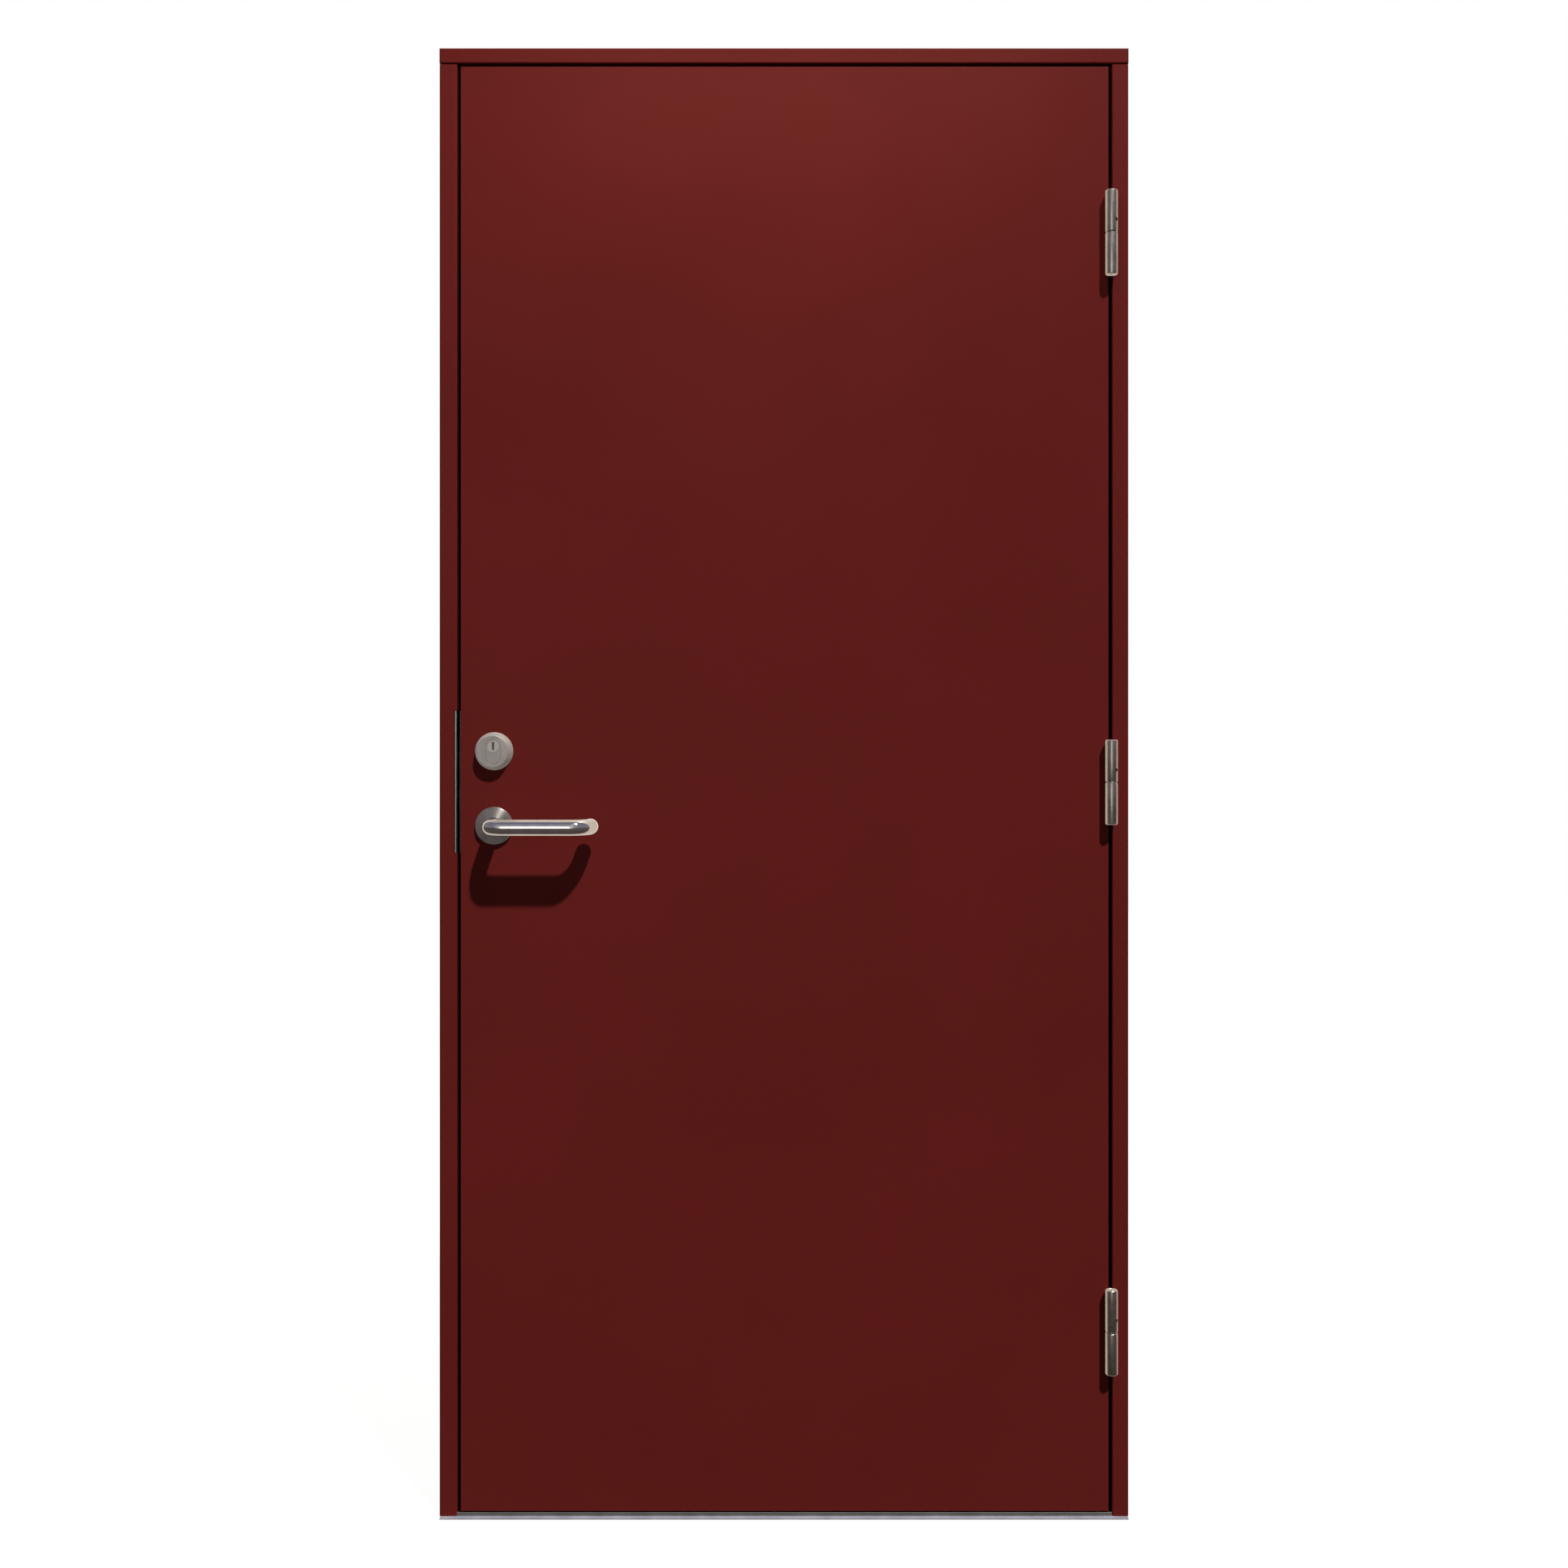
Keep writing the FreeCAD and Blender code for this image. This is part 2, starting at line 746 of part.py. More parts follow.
def all_pieces():
    pieces = {
        "head_outer": head_outer(),
        "head_inner": head_inner(),
        "strike_jamb_outer": strike_jamb_outer(),
        "strike_jamb_inner": jamb_inner(left, strike_edge + stop_projection),
        "hinge_jamb_outer": hinge_jamb_outer(),
        "hinge_jamb_inner": jamb_inner(hinge_edge - stop_projection, right),
        "thermal_breaks": thermal_breaks(),
        "corner_gaskets": corner_gaskets(),
        "threshold_plate": threshold_plate(),
        "threshold_stop": threshold_stop(),
        "strike_plate": strike_plate(),
        "jamb_sleeves": jamb_sleeves(),
        "head_seal": head_seal(),
        "strike_side_seal": upright_seal(strike_seal_x),
        "hinge_side_seal": upright_seal(hinge_seal_x),
        "threshold_seal": threshold_seal(),
        "hinge_rings": hinge_rings(),
        "hinge_set_screws": hinge_set_screws(),
        "leaf_outer_skin": leaf_outer_skin(),
        "leaf_inner_skin": leaf_inner_skin(),
        "leaf_core": leaf_core(),
        "lock_case": lock_case(),
        "lock_forend": lock_forend(),
        "latch_bolt": latch_bolt(),
        "dead_bolt": dead_bolt(),
        "outside_cylinder_ring": cylinder_ring(),
        "outside_cylinder_body": cylinder_body(),
        "key_plug": key_plug(),
        "inside_cylinder_ring": mirrored_inside(cylinder_ring()),
        "inside_thumbturn": inside_thumbturn(),
        "outside_rose": lever_rose(),
        "inside_rose": mirrored_inside(lever_rose()),
        "outside_lever": lever_handle(),
        "inside_lever": mirrored_inside(lever_handle()),
        "lever_spindle": spindle_block(),
    }
    for name, height in zip(hinge_names, hinge_heights):
        pieces[f"{name}_hinge_frame_half"] = hinge_frame_half(height)
        pieces[f"{name}_hinge_door_half"] = hinge_door_half(height)
        pieces[f"{name}_hinge_pin"] = hinge_pin(height)
    return pieces


os.makedirs("parts", exist_ok=True)
for node, shape in all_pieces().items():
    shape.exportStep(f"parts/{node}.step")
    print(node, "valid" if shape.isValid() else "NOT VALID", round(shape.Volume / 1000, 2), "cm3",
          len(shape.Solids), "solids")
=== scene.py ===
import random
from math import cos, pi, radians, sin

import bmesh
import bpy
from mathutils import Matrix, Vector


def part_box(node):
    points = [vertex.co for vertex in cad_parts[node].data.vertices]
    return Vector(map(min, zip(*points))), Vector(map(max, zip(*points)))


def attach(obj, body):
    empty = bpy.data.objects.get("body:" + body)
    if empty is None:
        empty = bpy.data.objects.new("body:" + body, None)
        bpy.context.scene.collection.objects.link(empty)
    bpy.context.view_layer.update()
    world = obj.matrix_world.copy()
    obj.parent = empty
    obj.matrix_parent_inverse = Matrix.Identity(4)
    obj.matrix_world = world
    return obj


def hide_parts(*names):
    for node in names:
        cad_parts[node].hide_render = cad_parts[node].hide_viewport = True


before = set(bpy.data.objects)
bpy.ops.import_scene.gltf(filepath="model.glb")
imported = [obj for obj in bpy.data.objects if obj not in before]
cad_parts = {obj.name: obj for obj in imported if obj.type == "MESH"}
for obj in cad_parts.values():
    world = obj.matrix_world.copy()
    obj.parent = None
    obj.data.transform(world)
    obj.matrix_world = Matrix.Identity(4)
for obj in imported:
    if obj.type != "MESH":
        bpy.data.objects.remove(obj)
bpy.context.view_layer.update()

random.seed(7)
print("door: frame loaded with", len(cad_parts), "solids")

# tolerances for picking and merging, and how far a cutter stands past a face
modelling = {"squareOn": .99, "slack": 2e-5, "mergeDistance": 1e-6, "overcut": .001}


def clearSelection():
    if bpy.context.mode != "OBJECT":
        bpy.ops.object.mode_set(mode="OBJECT")
    bpy.ops.object.select_all(action="DESELECT")


def selectOnly(*pieces):
    clearSelection()
    for piece in pieces:
        piece.select_set(True)
    bpy.context.view_layer.objects.active = pieces[0]


def addPrimitive(name, operator, **place):
    clearSelection()
    operator(**place)
    piece = bpy.context.object
    piece.name = name
    piece.data.name = name
    bpy.ops.object.transform_apply(location=True, rotation=True, scale=True)
    return piece


def addBlock(name, low, high):
    low, high = Vector(low), Vector(high)
    size, middle = high - low, (low + high) / 2
    return addPrimitive(name, bpy.ops.mesh.primitive_cube_add, size=1, scale=size, location=middle)


def facingAlong(way):
    # turns what was made along +Z
    return Vector(way).to_track_quat("Z", "Y").to_matrix().to_4x4()


def addRod(name, start, end, radius, sides=64, turn=0):
    # a cylinder between two points; turn shifts its corners by that part of a side
    along = Vector(end) - Vector(start)
    clearSelection()
    bpy.ops.mesh.primitive_cylinder_add(vertices=sides, radius=radius, depth=along.length)
    piece = bpy.context.object
    piece.name = name
    piece.data.name = name
    spin = Matrix.Rotation(turn * 2 * pi / sides, 4, "Z")
    piece.matrix_world = Matrix.Translation((Vector(start) + Vector(end)) / 2) @ facingAlong(along) @ spin
    bpy.ops.object.transform_apply(location=True, rotation=True, scale=True)
    return piece


def openMesh(piece):
    selectOnly(piece)
    bpy.ops.object.mode_set(mode="EDIT")
    bpy.ops.mesh.select_all(action="DESELECT")


def leaveMesh():
    bpy.ops.object.mode_set(mode="OBJECT")


def pick(kind, test):
    # selects the faces, edges or points of the open mesh that pass the test
    bpy.ops.mesh.select_mode(type=kind)
    bpy.ops.mesh.select_all(action="DESELECT")
    mesh = bmesh.from_edit_mesh(bpy.context.object.data)
    parts = {"FACE": mesh.faces, "EDGE": mesh.edges, "VERT": mesh.verts}[kind]
    for part in parts:
        if test(part):
            part.select_set(True)
    bmesh.update_edit_mesh(bpy.context.object.data)


def pickFacing(direction, test=lambda centre: True):
    way, squareOn = Vector(direction), modelling["squareOn"]
    pick("FACE", lambda face: face.normal.dot(way) > squareOn and test(face.calc_center_median()))


def pickEdges(test):
    pick("EDGE", lambda edge: all(test(corner.co) for corner in edge.verts))


def pickLongEdges(axis, test):
    # edges that pass the test and run along the axis
    def runsAlong(edge):
        start, end = (corner.co for corner in edge.verts)
        return test(start) and test(end) and abs((end - start).normalized()[axis]) > modelling["squareOn"]

    pick("EDGE", runsAlong)


def near(a, b):
    return abs(a - b) < modelling["slack"]


def bevelPicked(width, steps=3):
    bpy.ops.mesh.bevel(offset=width, segments=steps, profile=.5, affect="EDGES", clamp_overlap=True)


def insetPicked(width, raised=0):
    bpy.ops.mesh.inset(thickness=width, depth=raised, use_even_offset=True)


def extrudePicked(move):
    bpy.ops.mesh.extrude_region_move(TRANSFORM_OT_translate={"value": tuple(move)})


def closeMesh(piece, smoothAngle=35):
    selectOnly(piece)
    bpy.ops.object.mode_set(mode="EDIT")
    bpy.ops.mesh.select_all(action="SELECT")
    bpy.ops.mesh.remove_doubles(threshold=modelling["mergeDistance"])
    bpy.ops.mesh.normals_make_consistent(inside=False)
    leaveMesh()
    bpy.ops.object.shade_smooth_by_angle(angle=radians(smoothAngle))
    return piece


def carve(piece, cutter, operation="DIFFERENCE"):
    # boolean with another piece, which is used up
    selectOnly(piece)
    step = piece.modifiers.new(operation.title(), "BOOLEAN")
    step.operation = operation
    step.object = cutter
    step.solver = "EXACT"
    bpy.ops.object.modifier_apply(modifier=step.name)
    bpy.data.objects.remove(cutter)
    return piece


def copyTo(piece, name, place):
    twin = piece.copy()
    twin.data = piece.data.copy()
    twin.name = name
    twin.data.name = name
    bpy.context.scene.collection.objects.link(twin)
    twin.matrix_world = place
    selectOnly(twin)
    bpy.ops.object.transform_apply(location=True, rotation=True, scale=True)
    return twin


def mirrorAcross(piece, y, name):
    # the same piece on the other side of the leaf
    twin = copyTo(piece, name, Matrix.Identity(4))
    openMesh(twin)
    bpy.ops.mesh.select_all(action="SELECT")
    bpy.ops.transform.resize(value=(1, -1, 1), center_override=(0, y, 0))
    return closeMesh(twin)


def joinPieces(name, pieces):
    selectOnly(*pieces)
    bpy.ops.object.join()
    whole = bpy.context.object
    whole.name = name
    whole.data.name = name
    return whole


def setPiece(piece, body, slot, finish, *nodes):
    if finish:
        piece.data.materials.clear()
        piece.data.materials.append(finish)
    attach(piece, body)
    if nodes:
        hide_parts(*nodes)


# finishes

noiseSpan = (.3, .7)  # where most of a noise pattern's values lie
toneSpan = (.2, .8)  # and those of two patterns added up


def startFinish(name, **sockets):
    finish = bpy.data.materials.new(name)
    finish.use_nodes = True
    tree = finish.node_tree
    shader = tree.nodes["Principled BSDF"]
    for socket, value in sockets.items():
        shader.inputs[socket.replace("_", " ")].default_value = value
    return finish, tree, shader


def addNode(tree, kind, inputs=None, **settings):
    made = tree.nodes.new("ShaderNode" + kind)
    for key, value in settings.items():
        setattr(made, key, value)
    for key, value in (inputs or {}).items():
        if isinstance(value, bpy.types.NodeSocket):
            tree.links.new(value, made.inputs[key])
        else:
            made.inputs[key].default_value = value
    return made


def objectPoint(tree, scale=(1, 1, 1), move=(0, 0, 0)):
    point = addNode(tree, "TexCoord").outputs["Object"]
    return addNode(tree, "Mapping", {"Vector": point, "Location": move, "Scale": scale}).outputs["Vector"]


def mathOf(tree, operation, first, second=0):
    return addNode(tree, "Math", {0: first, 1: second}, operation=operation).outputs[0]


def mixOf(tree, share, first, second, **settings):
    inputs = {"Factor": share, "A": first, "B": second}
    return addNode(tree, "Mix", inputs, data_type="RGBA", **settings).outputs["Result"]


def noiseOf(tree, vector, scale, detail=2, rough=.5):
    inputs = {"Vector": vector, "Scale": scale, "Detail": detail, "Roughness": rough}
    return addNode(tree, "TexNoise", inputs).outputs["Fac"]


def spreadOf(tree, value, low, high, fromLow=noiseSpan[0], fromHigh=noiseSpan[1]):
    inputs = {"Value": value, "From Min": fromLow, "From Max": fromHigh, "To Min": low, "To Max": high}
    return addNode(tree, "MapRange", inputs).outputs["Result"]


def tonesOf(tree, first, second, share):
    # two patterns added up, the first with that share
    return mathOf(tree, "ADD", spreadOf(tree, first, 0, share), spreadOf(tree, second, 0, 1 - share))


def shadesOf(tree, value, dark, light):
    ramp = addNode(tree, "ValToRGB", {"Fac": value})
    for element, position, colour in zip(ramp.color_ramp.elements, noiseSpan, (dark, light)):
        element.position = position
        element.color = (*colour, 1)
    return ramp.outputs["Color"]


def bumpOf(tree, height, strength, depth, under=None):
    inputs = {"Height": height, "Strength": strength, "Distance": depth}
    if under:
        inputs["Normal"] = under
    return addNode(tree, "Bump", inputs).outputs["Normal"]


paint = {
    "dark": (.0885, .0086, .0070), "light": (.0945, .0094, .0078), "gloss": (.40, .47), "shine": .06,
    "cloudScale": 2.4, "cloudShare": .8, "speckScale": 900, "glossScale": 11,
    "peelScale": 420, "peelStrength": .5, "peelDepth": .00006,
    "waveScale": 5, "waveStrength": .35, "waveDepth": .0004,
}


def makePaint():
    # stoved powder paint: fine orange peel over sheet that isn't quite flat
    finish, tree, shader = startFinish("redPaint", Specular_IOR_Level=paint["shine"])
    point = objectPoint(tree)
    cloud = noiseOf(tree, point, paint["cloudScale"], detail=3)
    speck = noiseOf(tree, point, paint["speckScale"], detail=1)
    tone = tonesOf(tree, cloud, speck, paint["cloudShare"])
    tree.links.new(shadesOf(tree, tone, paint["dark"], paint["light"]), shader.inputs["Base Color"])
    sheen = noiseOf(tree, point, paint["glossScale"], detail=4)
    tree.links.new(spreadOf(tree, sheen, *paint["gloss"]), shader.inputs["Roughness"])
    sheet = noiseOf(tree, point, paint["waveScale"], detail=1)
    wave = bumpOf(tree, sheet, paint["waveStrength"], paint["waveDepth"])
    skin = noiseOf(tree, point, paint["peelScale"])
    peel = bumpOf(tree, skin, paint["peelStrength"], paint["peelDepth"], wave)
    tree.links.new(peel, shader.inputs["Normal"])
    return finish


drawn = {"grainRough": .6, "scuffShare": .6, "bump": .5}
turned = {
    "ringScale": 5200, "ringRough": .6, "scuffScale": 70, "scuffShare": .5, "bump": .4, "depth": .00001,
    "streakTurn": .25,
}


def dressMetal(tree, shader, tone, dark, light, gloss, bump):
    tree.links.new(shadesOf(tree, tone, dark, light), shader.inputs["Base Color"])
    tree.links.new(spreadOf(tree, tone, *gloss, *toneSpan), shader.inputs["Roughness"])
    tree.links.new(bump, shader.inputs["Normal"])


def makeSteel(name, dark, light, gloss, grain, depth=.00002, scuffScale=60, metal=1):
    # drawn or brushed metal, its grain running along the axis with the small number
    finish, tree, shader = startFinish(name, Metallic=metal)
    lines = noiseOf(tree, objectPoint(tree, grain), 1, detail=3, rough=drawn["grainRough"])
    scuff = noiseOf(tree, objectPoint(tree), scuffScale, detail=4)
    tone = tonesOf(tree, scuff, lines, drawn["scuffShare"])
    dressMetal(tree, shader, tone, dark, light, gloss, bumpOf(tree, lines, drawn["bump"], depth))
    return finish


def makeTurned(name, dark, light, gloss, centre, brushed=0, metal=1):
    # faced on a lathe: rings round the Y axis through centre
    finish, tree, shader = startFinish(name, Metallic=metal, Anisotropic=brushed,
                                       Anisotropic_Rotation=turned["streakTurn"])
    flat = objectPoint(tree, (1, 0, 1), (-centre[0], 0, -centre[1]))
    away = addNode(tree, "VectorMath", {0: flat}, operation="LENGTH").outputs["Value"]
    ring = addNode(tree, "CombineXYZ", {"X": away}).outputs["Vector"]
    rings = noiseOf(tree, ring, turned["ringScale"], rough=turned["ringRough"])
    scuff = noiseOf(tree, objectPoint(tree), turned["scuffScale"], detail=4)
    tone = tonesOf(tree, scuff, rings, turned["scuffShare"])
    dressMetal(tree, shader, tone, dark, light, gloss, bumpOf(tree, rings, turned["bump"], turned["depth"]))
    if brushed:
        around = addNode(tree, "Tangent", direction_type="RADIAL", axis="Y").outputs["Tangent"]
        tree.links.new(around, shader.inputs["Tangent"])
    return finish


def paintShadeBelow(finish, axis, low, high, colour):
    # multiplies the colour below low on the axis, fading out up to high: painted shade
    tree = finish.node_tree
    base = tree.nodes["Principled BSDF"].inputs["Base Color"]
    point = addNode(tree, "TexCoord").outputs["Object"]
    part = spreadOf(tree, addNode(tree, "SeparateXYZ", {"Vector": point}).outputs[axis], 1, 0, low, high)
    tree.links.new(mixOf(tree, part, base.links[0].from_socket, (*colour, 1), blend_type="MULTIPLY"), base)


rubber = {"shine": .4, "dustScale": 35, "bump": .5}


def makeRubber(name, dark, light, gloss, poreScale, depth):
    # dull rubber, plastic or foam with fine pores
    finish, tree, shader = startFinish(name, Specular_IOR_Level=rubber["shine"])
    point = objectPoint(tree)
    dust = noiseOf(tree, point, rubber["dustScale"], detail=4)
    pores = noiseOf(tree, point, poreScale, detail=3)
    tree.links.new(shadesOf(tree, dust, dark, light), shader.inputs["Base Color"])
    tree.links.new(spreadOf(tree, dust, *gloss), shader.inputs["Roughness"])
    tree.links.new(bumpOf(tree, pores, rubber["bump"], depth), shader.inputs["Normal"])
    return finish


lock = {"x": -.412, "handleHeight": .984, "cylinderHeight": 1.0898, "plugHeight": 1.0967}
leafMiddle = .025
grains = {  # noise scales along X, Y and Z: the grain runs along the axis with the small one
    "lever": (90, 2600, 2600), "sill": (30, 1700, 1700), "strip": (1900, 1900, 40), "hinge": (1900, 1900, 60),
    "even": (900, 900, 900),
}

redPaint = makePaint()
leverSteel = makeSteel("leverSteel", (.53, .50, .46), (.61, .58, .54), (.05, .10),
                        grains["lever"], depth=.000004)
roseSteel = makeTurned("roseSteel", (.165, .148, .134), (.220, .198, .180), (.38, .46),
                       (lock["x"], lock["handleHeight"]), brushed=.8)
cylinderSatin = makeTurned("cylinderSatin", (.255, .230, .207), (.300, .271, .245), (.50, .58),
                           (lock["x"], lock["cylinderHeight"]), metal=.6)
plugBrass = makeTurned("plugBrass", (.335, .300, .266), (.39, .351, .313), (.44, .54),
                       (lock["x"], lock["plugHeight"]), metal=.6)
hingeSatin = makeSteel("hingeSatin", (.28, .242, .200), (.336, .294, .245), (.25, .31),
                        grains["hinge"], depth=.000005)
lockStrip = makeSteel("lockStrip", (.20, .19, .168), (.27, .26, .235), (.30, .42), grains["strip"])
forendSteel = makeSteel("forendSteel", (.22, .21, .19), (.30, .29, .265), (.30, .42), grains["strip"])
paintShadeBelow(forendSteel, "Y", .012, .013, (.16, .16, .15))  # painted shade: darker along the leaf's front corner, where it lies in the gap
thresholdMetal = makeSteel("thresholdMetal", (.235, .235, .28), (.295, .295, .345), (.42, .55),
                           grains["sill"], depth=.00003, scuffScale=40, metal=.35)
paintShadeBelow(thresholdMetal, "Z", .0010, .0014, (.92, .80, .70))  # painted shade and painted reflection of the ground: darker and browner at the foot
# painted shade: the sill metal made much darker, for the shade under the leaf
lipPaintedShadeMetal = makeSteel("lipPaintedShadeMetal", (.068, .062, .054), (.088, .080, .070), (.45, .55),
                     grains["sill"], depth=.00003, scuffScale=40, metal=.3)
blackSteel = makeSteel("blackSteel", (.025, .024, .023), (.045, .043, .040), (.34, .45),
                        grains["even"], depth=.00001)
zincScrew = makeSteel("zincScrew", (.46, .46, .46), (.60, .60, .58), (.26, .38), grains["even"])
# painted shade: near-black colour for the deep keyway passage
keywayPaintedShade = makeRubber("keywayPaintedShade", (.004, .004, .004), (.010, .009, .008), (.6, .8), 1800, .00002)
sealRubber = makeRubber("sealRubber", (.008, .008, .009), (.020, .020, .021), (.62, .78), 1400, .00006)
blackPlastic = makeRubber("blackPlastic", (.012, .012, .013), (.024, .024, .025), (.44, .58), 2200, .00003)
coreFoam = makeRubber("coreFoam", (.42, .36, .20), (.58, .51, .31), (.85, .95), 700, .0006)
print("door: finishes made")


carriedOver = (
    (redPaint, "head_outer", "head_inner", "strike_jamb_outer", "strike_jamb_inner", "hinge_jamb_outer",
     "hinge_jamb_inner", "leaf_outer_skin", "leaf_inner_skin"),
    (blackPlastic, "thermal_breaks"),
    (sealRubber, "corner_gaskets"),
    (zincScrew, "jamb_sleeves"),
    (thresholdMetal, "threshold_stop"),
    (lockStrip, "lock_case", "latch_bolt", "dead_bolt", "lever_spindle"),
    (forendSteel, "lock_forend"),
    (coreFoam, "leaf_core"),
    (hingeSatin, "bottom_hinge_pin", "middle_hinge_pin", "top_hinge_pin"),
)
for finish, *names in carriedOver:
    for name in names:
        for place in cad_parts[name].material_slots:
            place.material = finish
print("door: carried-over solids finished")


lever = {
    "barRadius": .011, "gripY": -.052, "neckStart": -.0005, "neckBend": .0185,
    "endBend": .025, "gripLength": .139, "returnEnd": -.020, "edge": .0011,
}


def bendPicked(steps, x, y):
    # carries the picked ring a quarter turn round an upright axis
    bpy.ops.mesh.spin(steps=steps, angle=pi / 2, axis=(0, 0, -1), center=(x, y, lock["handleHeight"]))


def makeLever():
    neck = Vector((lock["x"], lever["neckStart"], lock["handleHeight"]))
    bar = addPrimitive("outsideLever", bpy.ops.mesh.primitive_circle_add, vertices=64, fill_type="NOTHING",
                       radius=lever["barRadius"], location=neck, rotation=(pi / 2, 0, 0))
    openMesh(bar)
    bpy.ops.mesh.select_mode(type="EDGE")
    bpy.ops.mesh.select_all(action="SELECT")
    firstBend = lever["gripY"] + lever["neckBend"]
    gripStart = lock["x"] + lever["neckBend"]
    extrudePicked((0, firstBend - lever["neckStart"], 0))
    bendPicked(20, gripStart, firstBend)
    farX = lock["x"] + lever["gripLength"]
    secondBend = lever["gripY"] + lever["endBend"]
    extrudePicked((farX - lever["endBend"] - gripStart, 0, 0))
    bendPicked(24, farX - lever["endBend"], secondBend)
    extrudePicked((0, lever["returnEnd"] - secondBend, 0))
    bpy.ops.mesh.edge_face_add()  # closes the free end
    pickEdges(lambda at: near(at.y, lever["returnEnd"]) and at.x > farX - 2 * lever["barRadius"])
    bevelPicked(lever["edge"])
    pickEdges(lambda at: near(at.y, lever["neckStart"]))
    bpy.ops.mesh.edge_face_add()
    return closeMesh(bar, smoothAngle=30)


outsideLever = makeLever()
insideLever = mirrorAcross(outsideLever, leafMiddle, "insideLever")
setPiece(outsideLever, "lever", "handle_steel", leverSteel, "outside_lever")
setPiece(insideLever, "lever", "handle_steel", leverSteel, "inside_lever")
print("door: levers made")


rose = {
    "radius": .0265, "height": .005, "edge": .0012, "hole": .0113, "crown": .0022, "holeEdge": .0005,
    "holeSink": .0003, "screwAside": .019, "screwFace": .0558, "screwLean": .16,
}


def makeRose():
    centre = Vector((lock["x"], 0, lock["handleHeight"]))
    face = centre - Vector((0, rose["height"], 0))
    plate = addRod("outsideRose", centre, face, rose["radius"], sides=128)
    openMesh(plate)
    pickEdges(lambda at: near(at.y, face.y))
    bevelPicked(rose["edge"])
    pickFacing((0, -1, 0), lambda at: near(at.y, face.y))
    insetPicked(rose["radius"] - rose["edge"] - rose["hole"] - rose["holeEdge"], rose["crown"])
    insetPicked(rose["holeEdge"], -rose["holeSink"])
    extrudePicked((0, rose["height"], 0))
    return closeMesh(plate, smoothAngle=25)


outsideRose = makeRose()
insideRose = mirrorAcross(outsideRose, leafMiddle, "insideRose")
setPiece(outsideRose, "leaf", "handle_steel", roseSteel, "outside_rose")
setPiece(insideRose, "leaf", "handle_steel", roseSteel, "inside_rose")
print("door: roses made")


cylinder = {
    "footRadius": .027, "foot": .0015, "footEdge": .0004, "front": -.012, "back": .020,
    "faceRadius": .0225, "faceShift": (-.0012, 0, -.0004), "edge": .0003,
    "ovalWidth": .0212, "ovalHeight": .035, "groove": .00018, "grooveEdge": .00015,
    "plugRadius": .0083, "plugGroove": .0001, "plugBack": .016,
    "grooveFrame": (.0125, .019), "ringOvercut": .01, "boreOvercut": .005,
}
keyway = {
    "width": .0021, "height": .0114, "depth": .020,
    "mouthHalf": (.0033, .0067), "mouthDepth": .0006, "mouthTaper": (.42, 1, .88), "mouthCorner": .0012,
    "wards": ((1, .0018), (-1, -.0024)), "wardHalf": .0006, "wardTip": .16, "wardRoot": .0008,
    "wardStart": .004, "wardStop": .0005, "litDepth": .0004,
}


def makeOval(name, width, height, front, back):
    # a round bar whose upper half is moved up and lower half down
    centre = Vector((lock["x"], 0, lock["cylinderHeight"]))
    bar = addRod(name, centre + Vector((0, back, 0)), centre + Vector((0, front, 0)), width / 2, turn=.5)
    openMesh(bar)
    for side in (1, -1):
        pick("VERT", lambda point: (point.co.z - lock["cylinderHeight"]) * side > 0)
        bpy.ops.transform.translate(value=(0, 0, side * (height - width) / 2))
    leaveMesh()
    return bar


def makeOvalCutter(front, back):
    wide = 2 * cylinder["groove"]
    return makeOval("ovalCutter", cylinder["ovalWidth"] + wide, cylinder["ovalHeight"] + wide, front, back)


def makeCylinderRing():
    front = cylinder["front"]
    centre = Vector((lock["x"], 0, lock["cylinderHeight"]))
    foot = Vector((0, -cylinder["foot"], 0))
    ring = addRod("outsideCylinderRing", centre, centre + foot, cylinder["footRadius"], sides=128)
    openMesh(ring)
    pickFacing((0, -1, 0))
    extrudePicked((0, front - foot.y, 0))
    share = cylinder["faceRadius"] / cylinder["footRadius"]
    bpy.ops.transform.resize(value=(share, 1, share), center_override=centre + Vector((0, front, 0)))
    bpy.ops.transform.translate(value=cylinder["faceShift"])
    pickEdges(lambda at: near(at.y, front))
    bevelPicked(cylinder["edge"])
    pickEdges(lambda at: near(at.y, foot.y))
    bevelPicked(cylinder["footEdge"], steps=2)
    carve(ring, makeOvalCutter(front - cylinder["ringOvercut"], cylinder["back"]))
    openMesh(ring)
    halfWide, halfTall = cylinder["grooveFrame"]  # just larger than the oval hole
    pickEdges(lambda at: near(at.y, front) and abs(at.x - centre.x) < halfWide
              and abs(at.z - centre.z) < halfTall)
    bevelPicked(cylinder["grooveEdge"], steps=2)
    return closeMesh(ring, smoothAngle=12)


def plugPoint(y):
    return Vector((lock["x"], y, lock["plugHeight"]))


def addPlugBlock(name, half, start, end):
    # a block round the plug's axis
    reach = Vector((half[0], 0, half[1]))
    return addBlock(name, plugPoint(start) - reach, plugPoint(end) + reach)


def makeCylinderBody():
    front = cylinder["front"]
    body = makeOval("outsideCylinderBody", cylinder["ovalWidth"], cylinder["ovalHeight"],
                    front, cylinder["back"])
    openMesh(body)
    pickEdges(lambda at: near(at.y, front))
    bevelPicked(cylinder["grooveEdge"], steps=2)
    leaveMesh()
    overcut = cylinder["boreOvercut"]
    boreRadius = cylinder["plugRadius"] + cylinder["plugGroove"]
    carve(body, addRod("plugBore", plugPoint(front - overcut), plugPoint(cylinder["back"] + overcut),
                       boreRadius, sides=96))
    return closeMesh(body, smoothAngle=12)


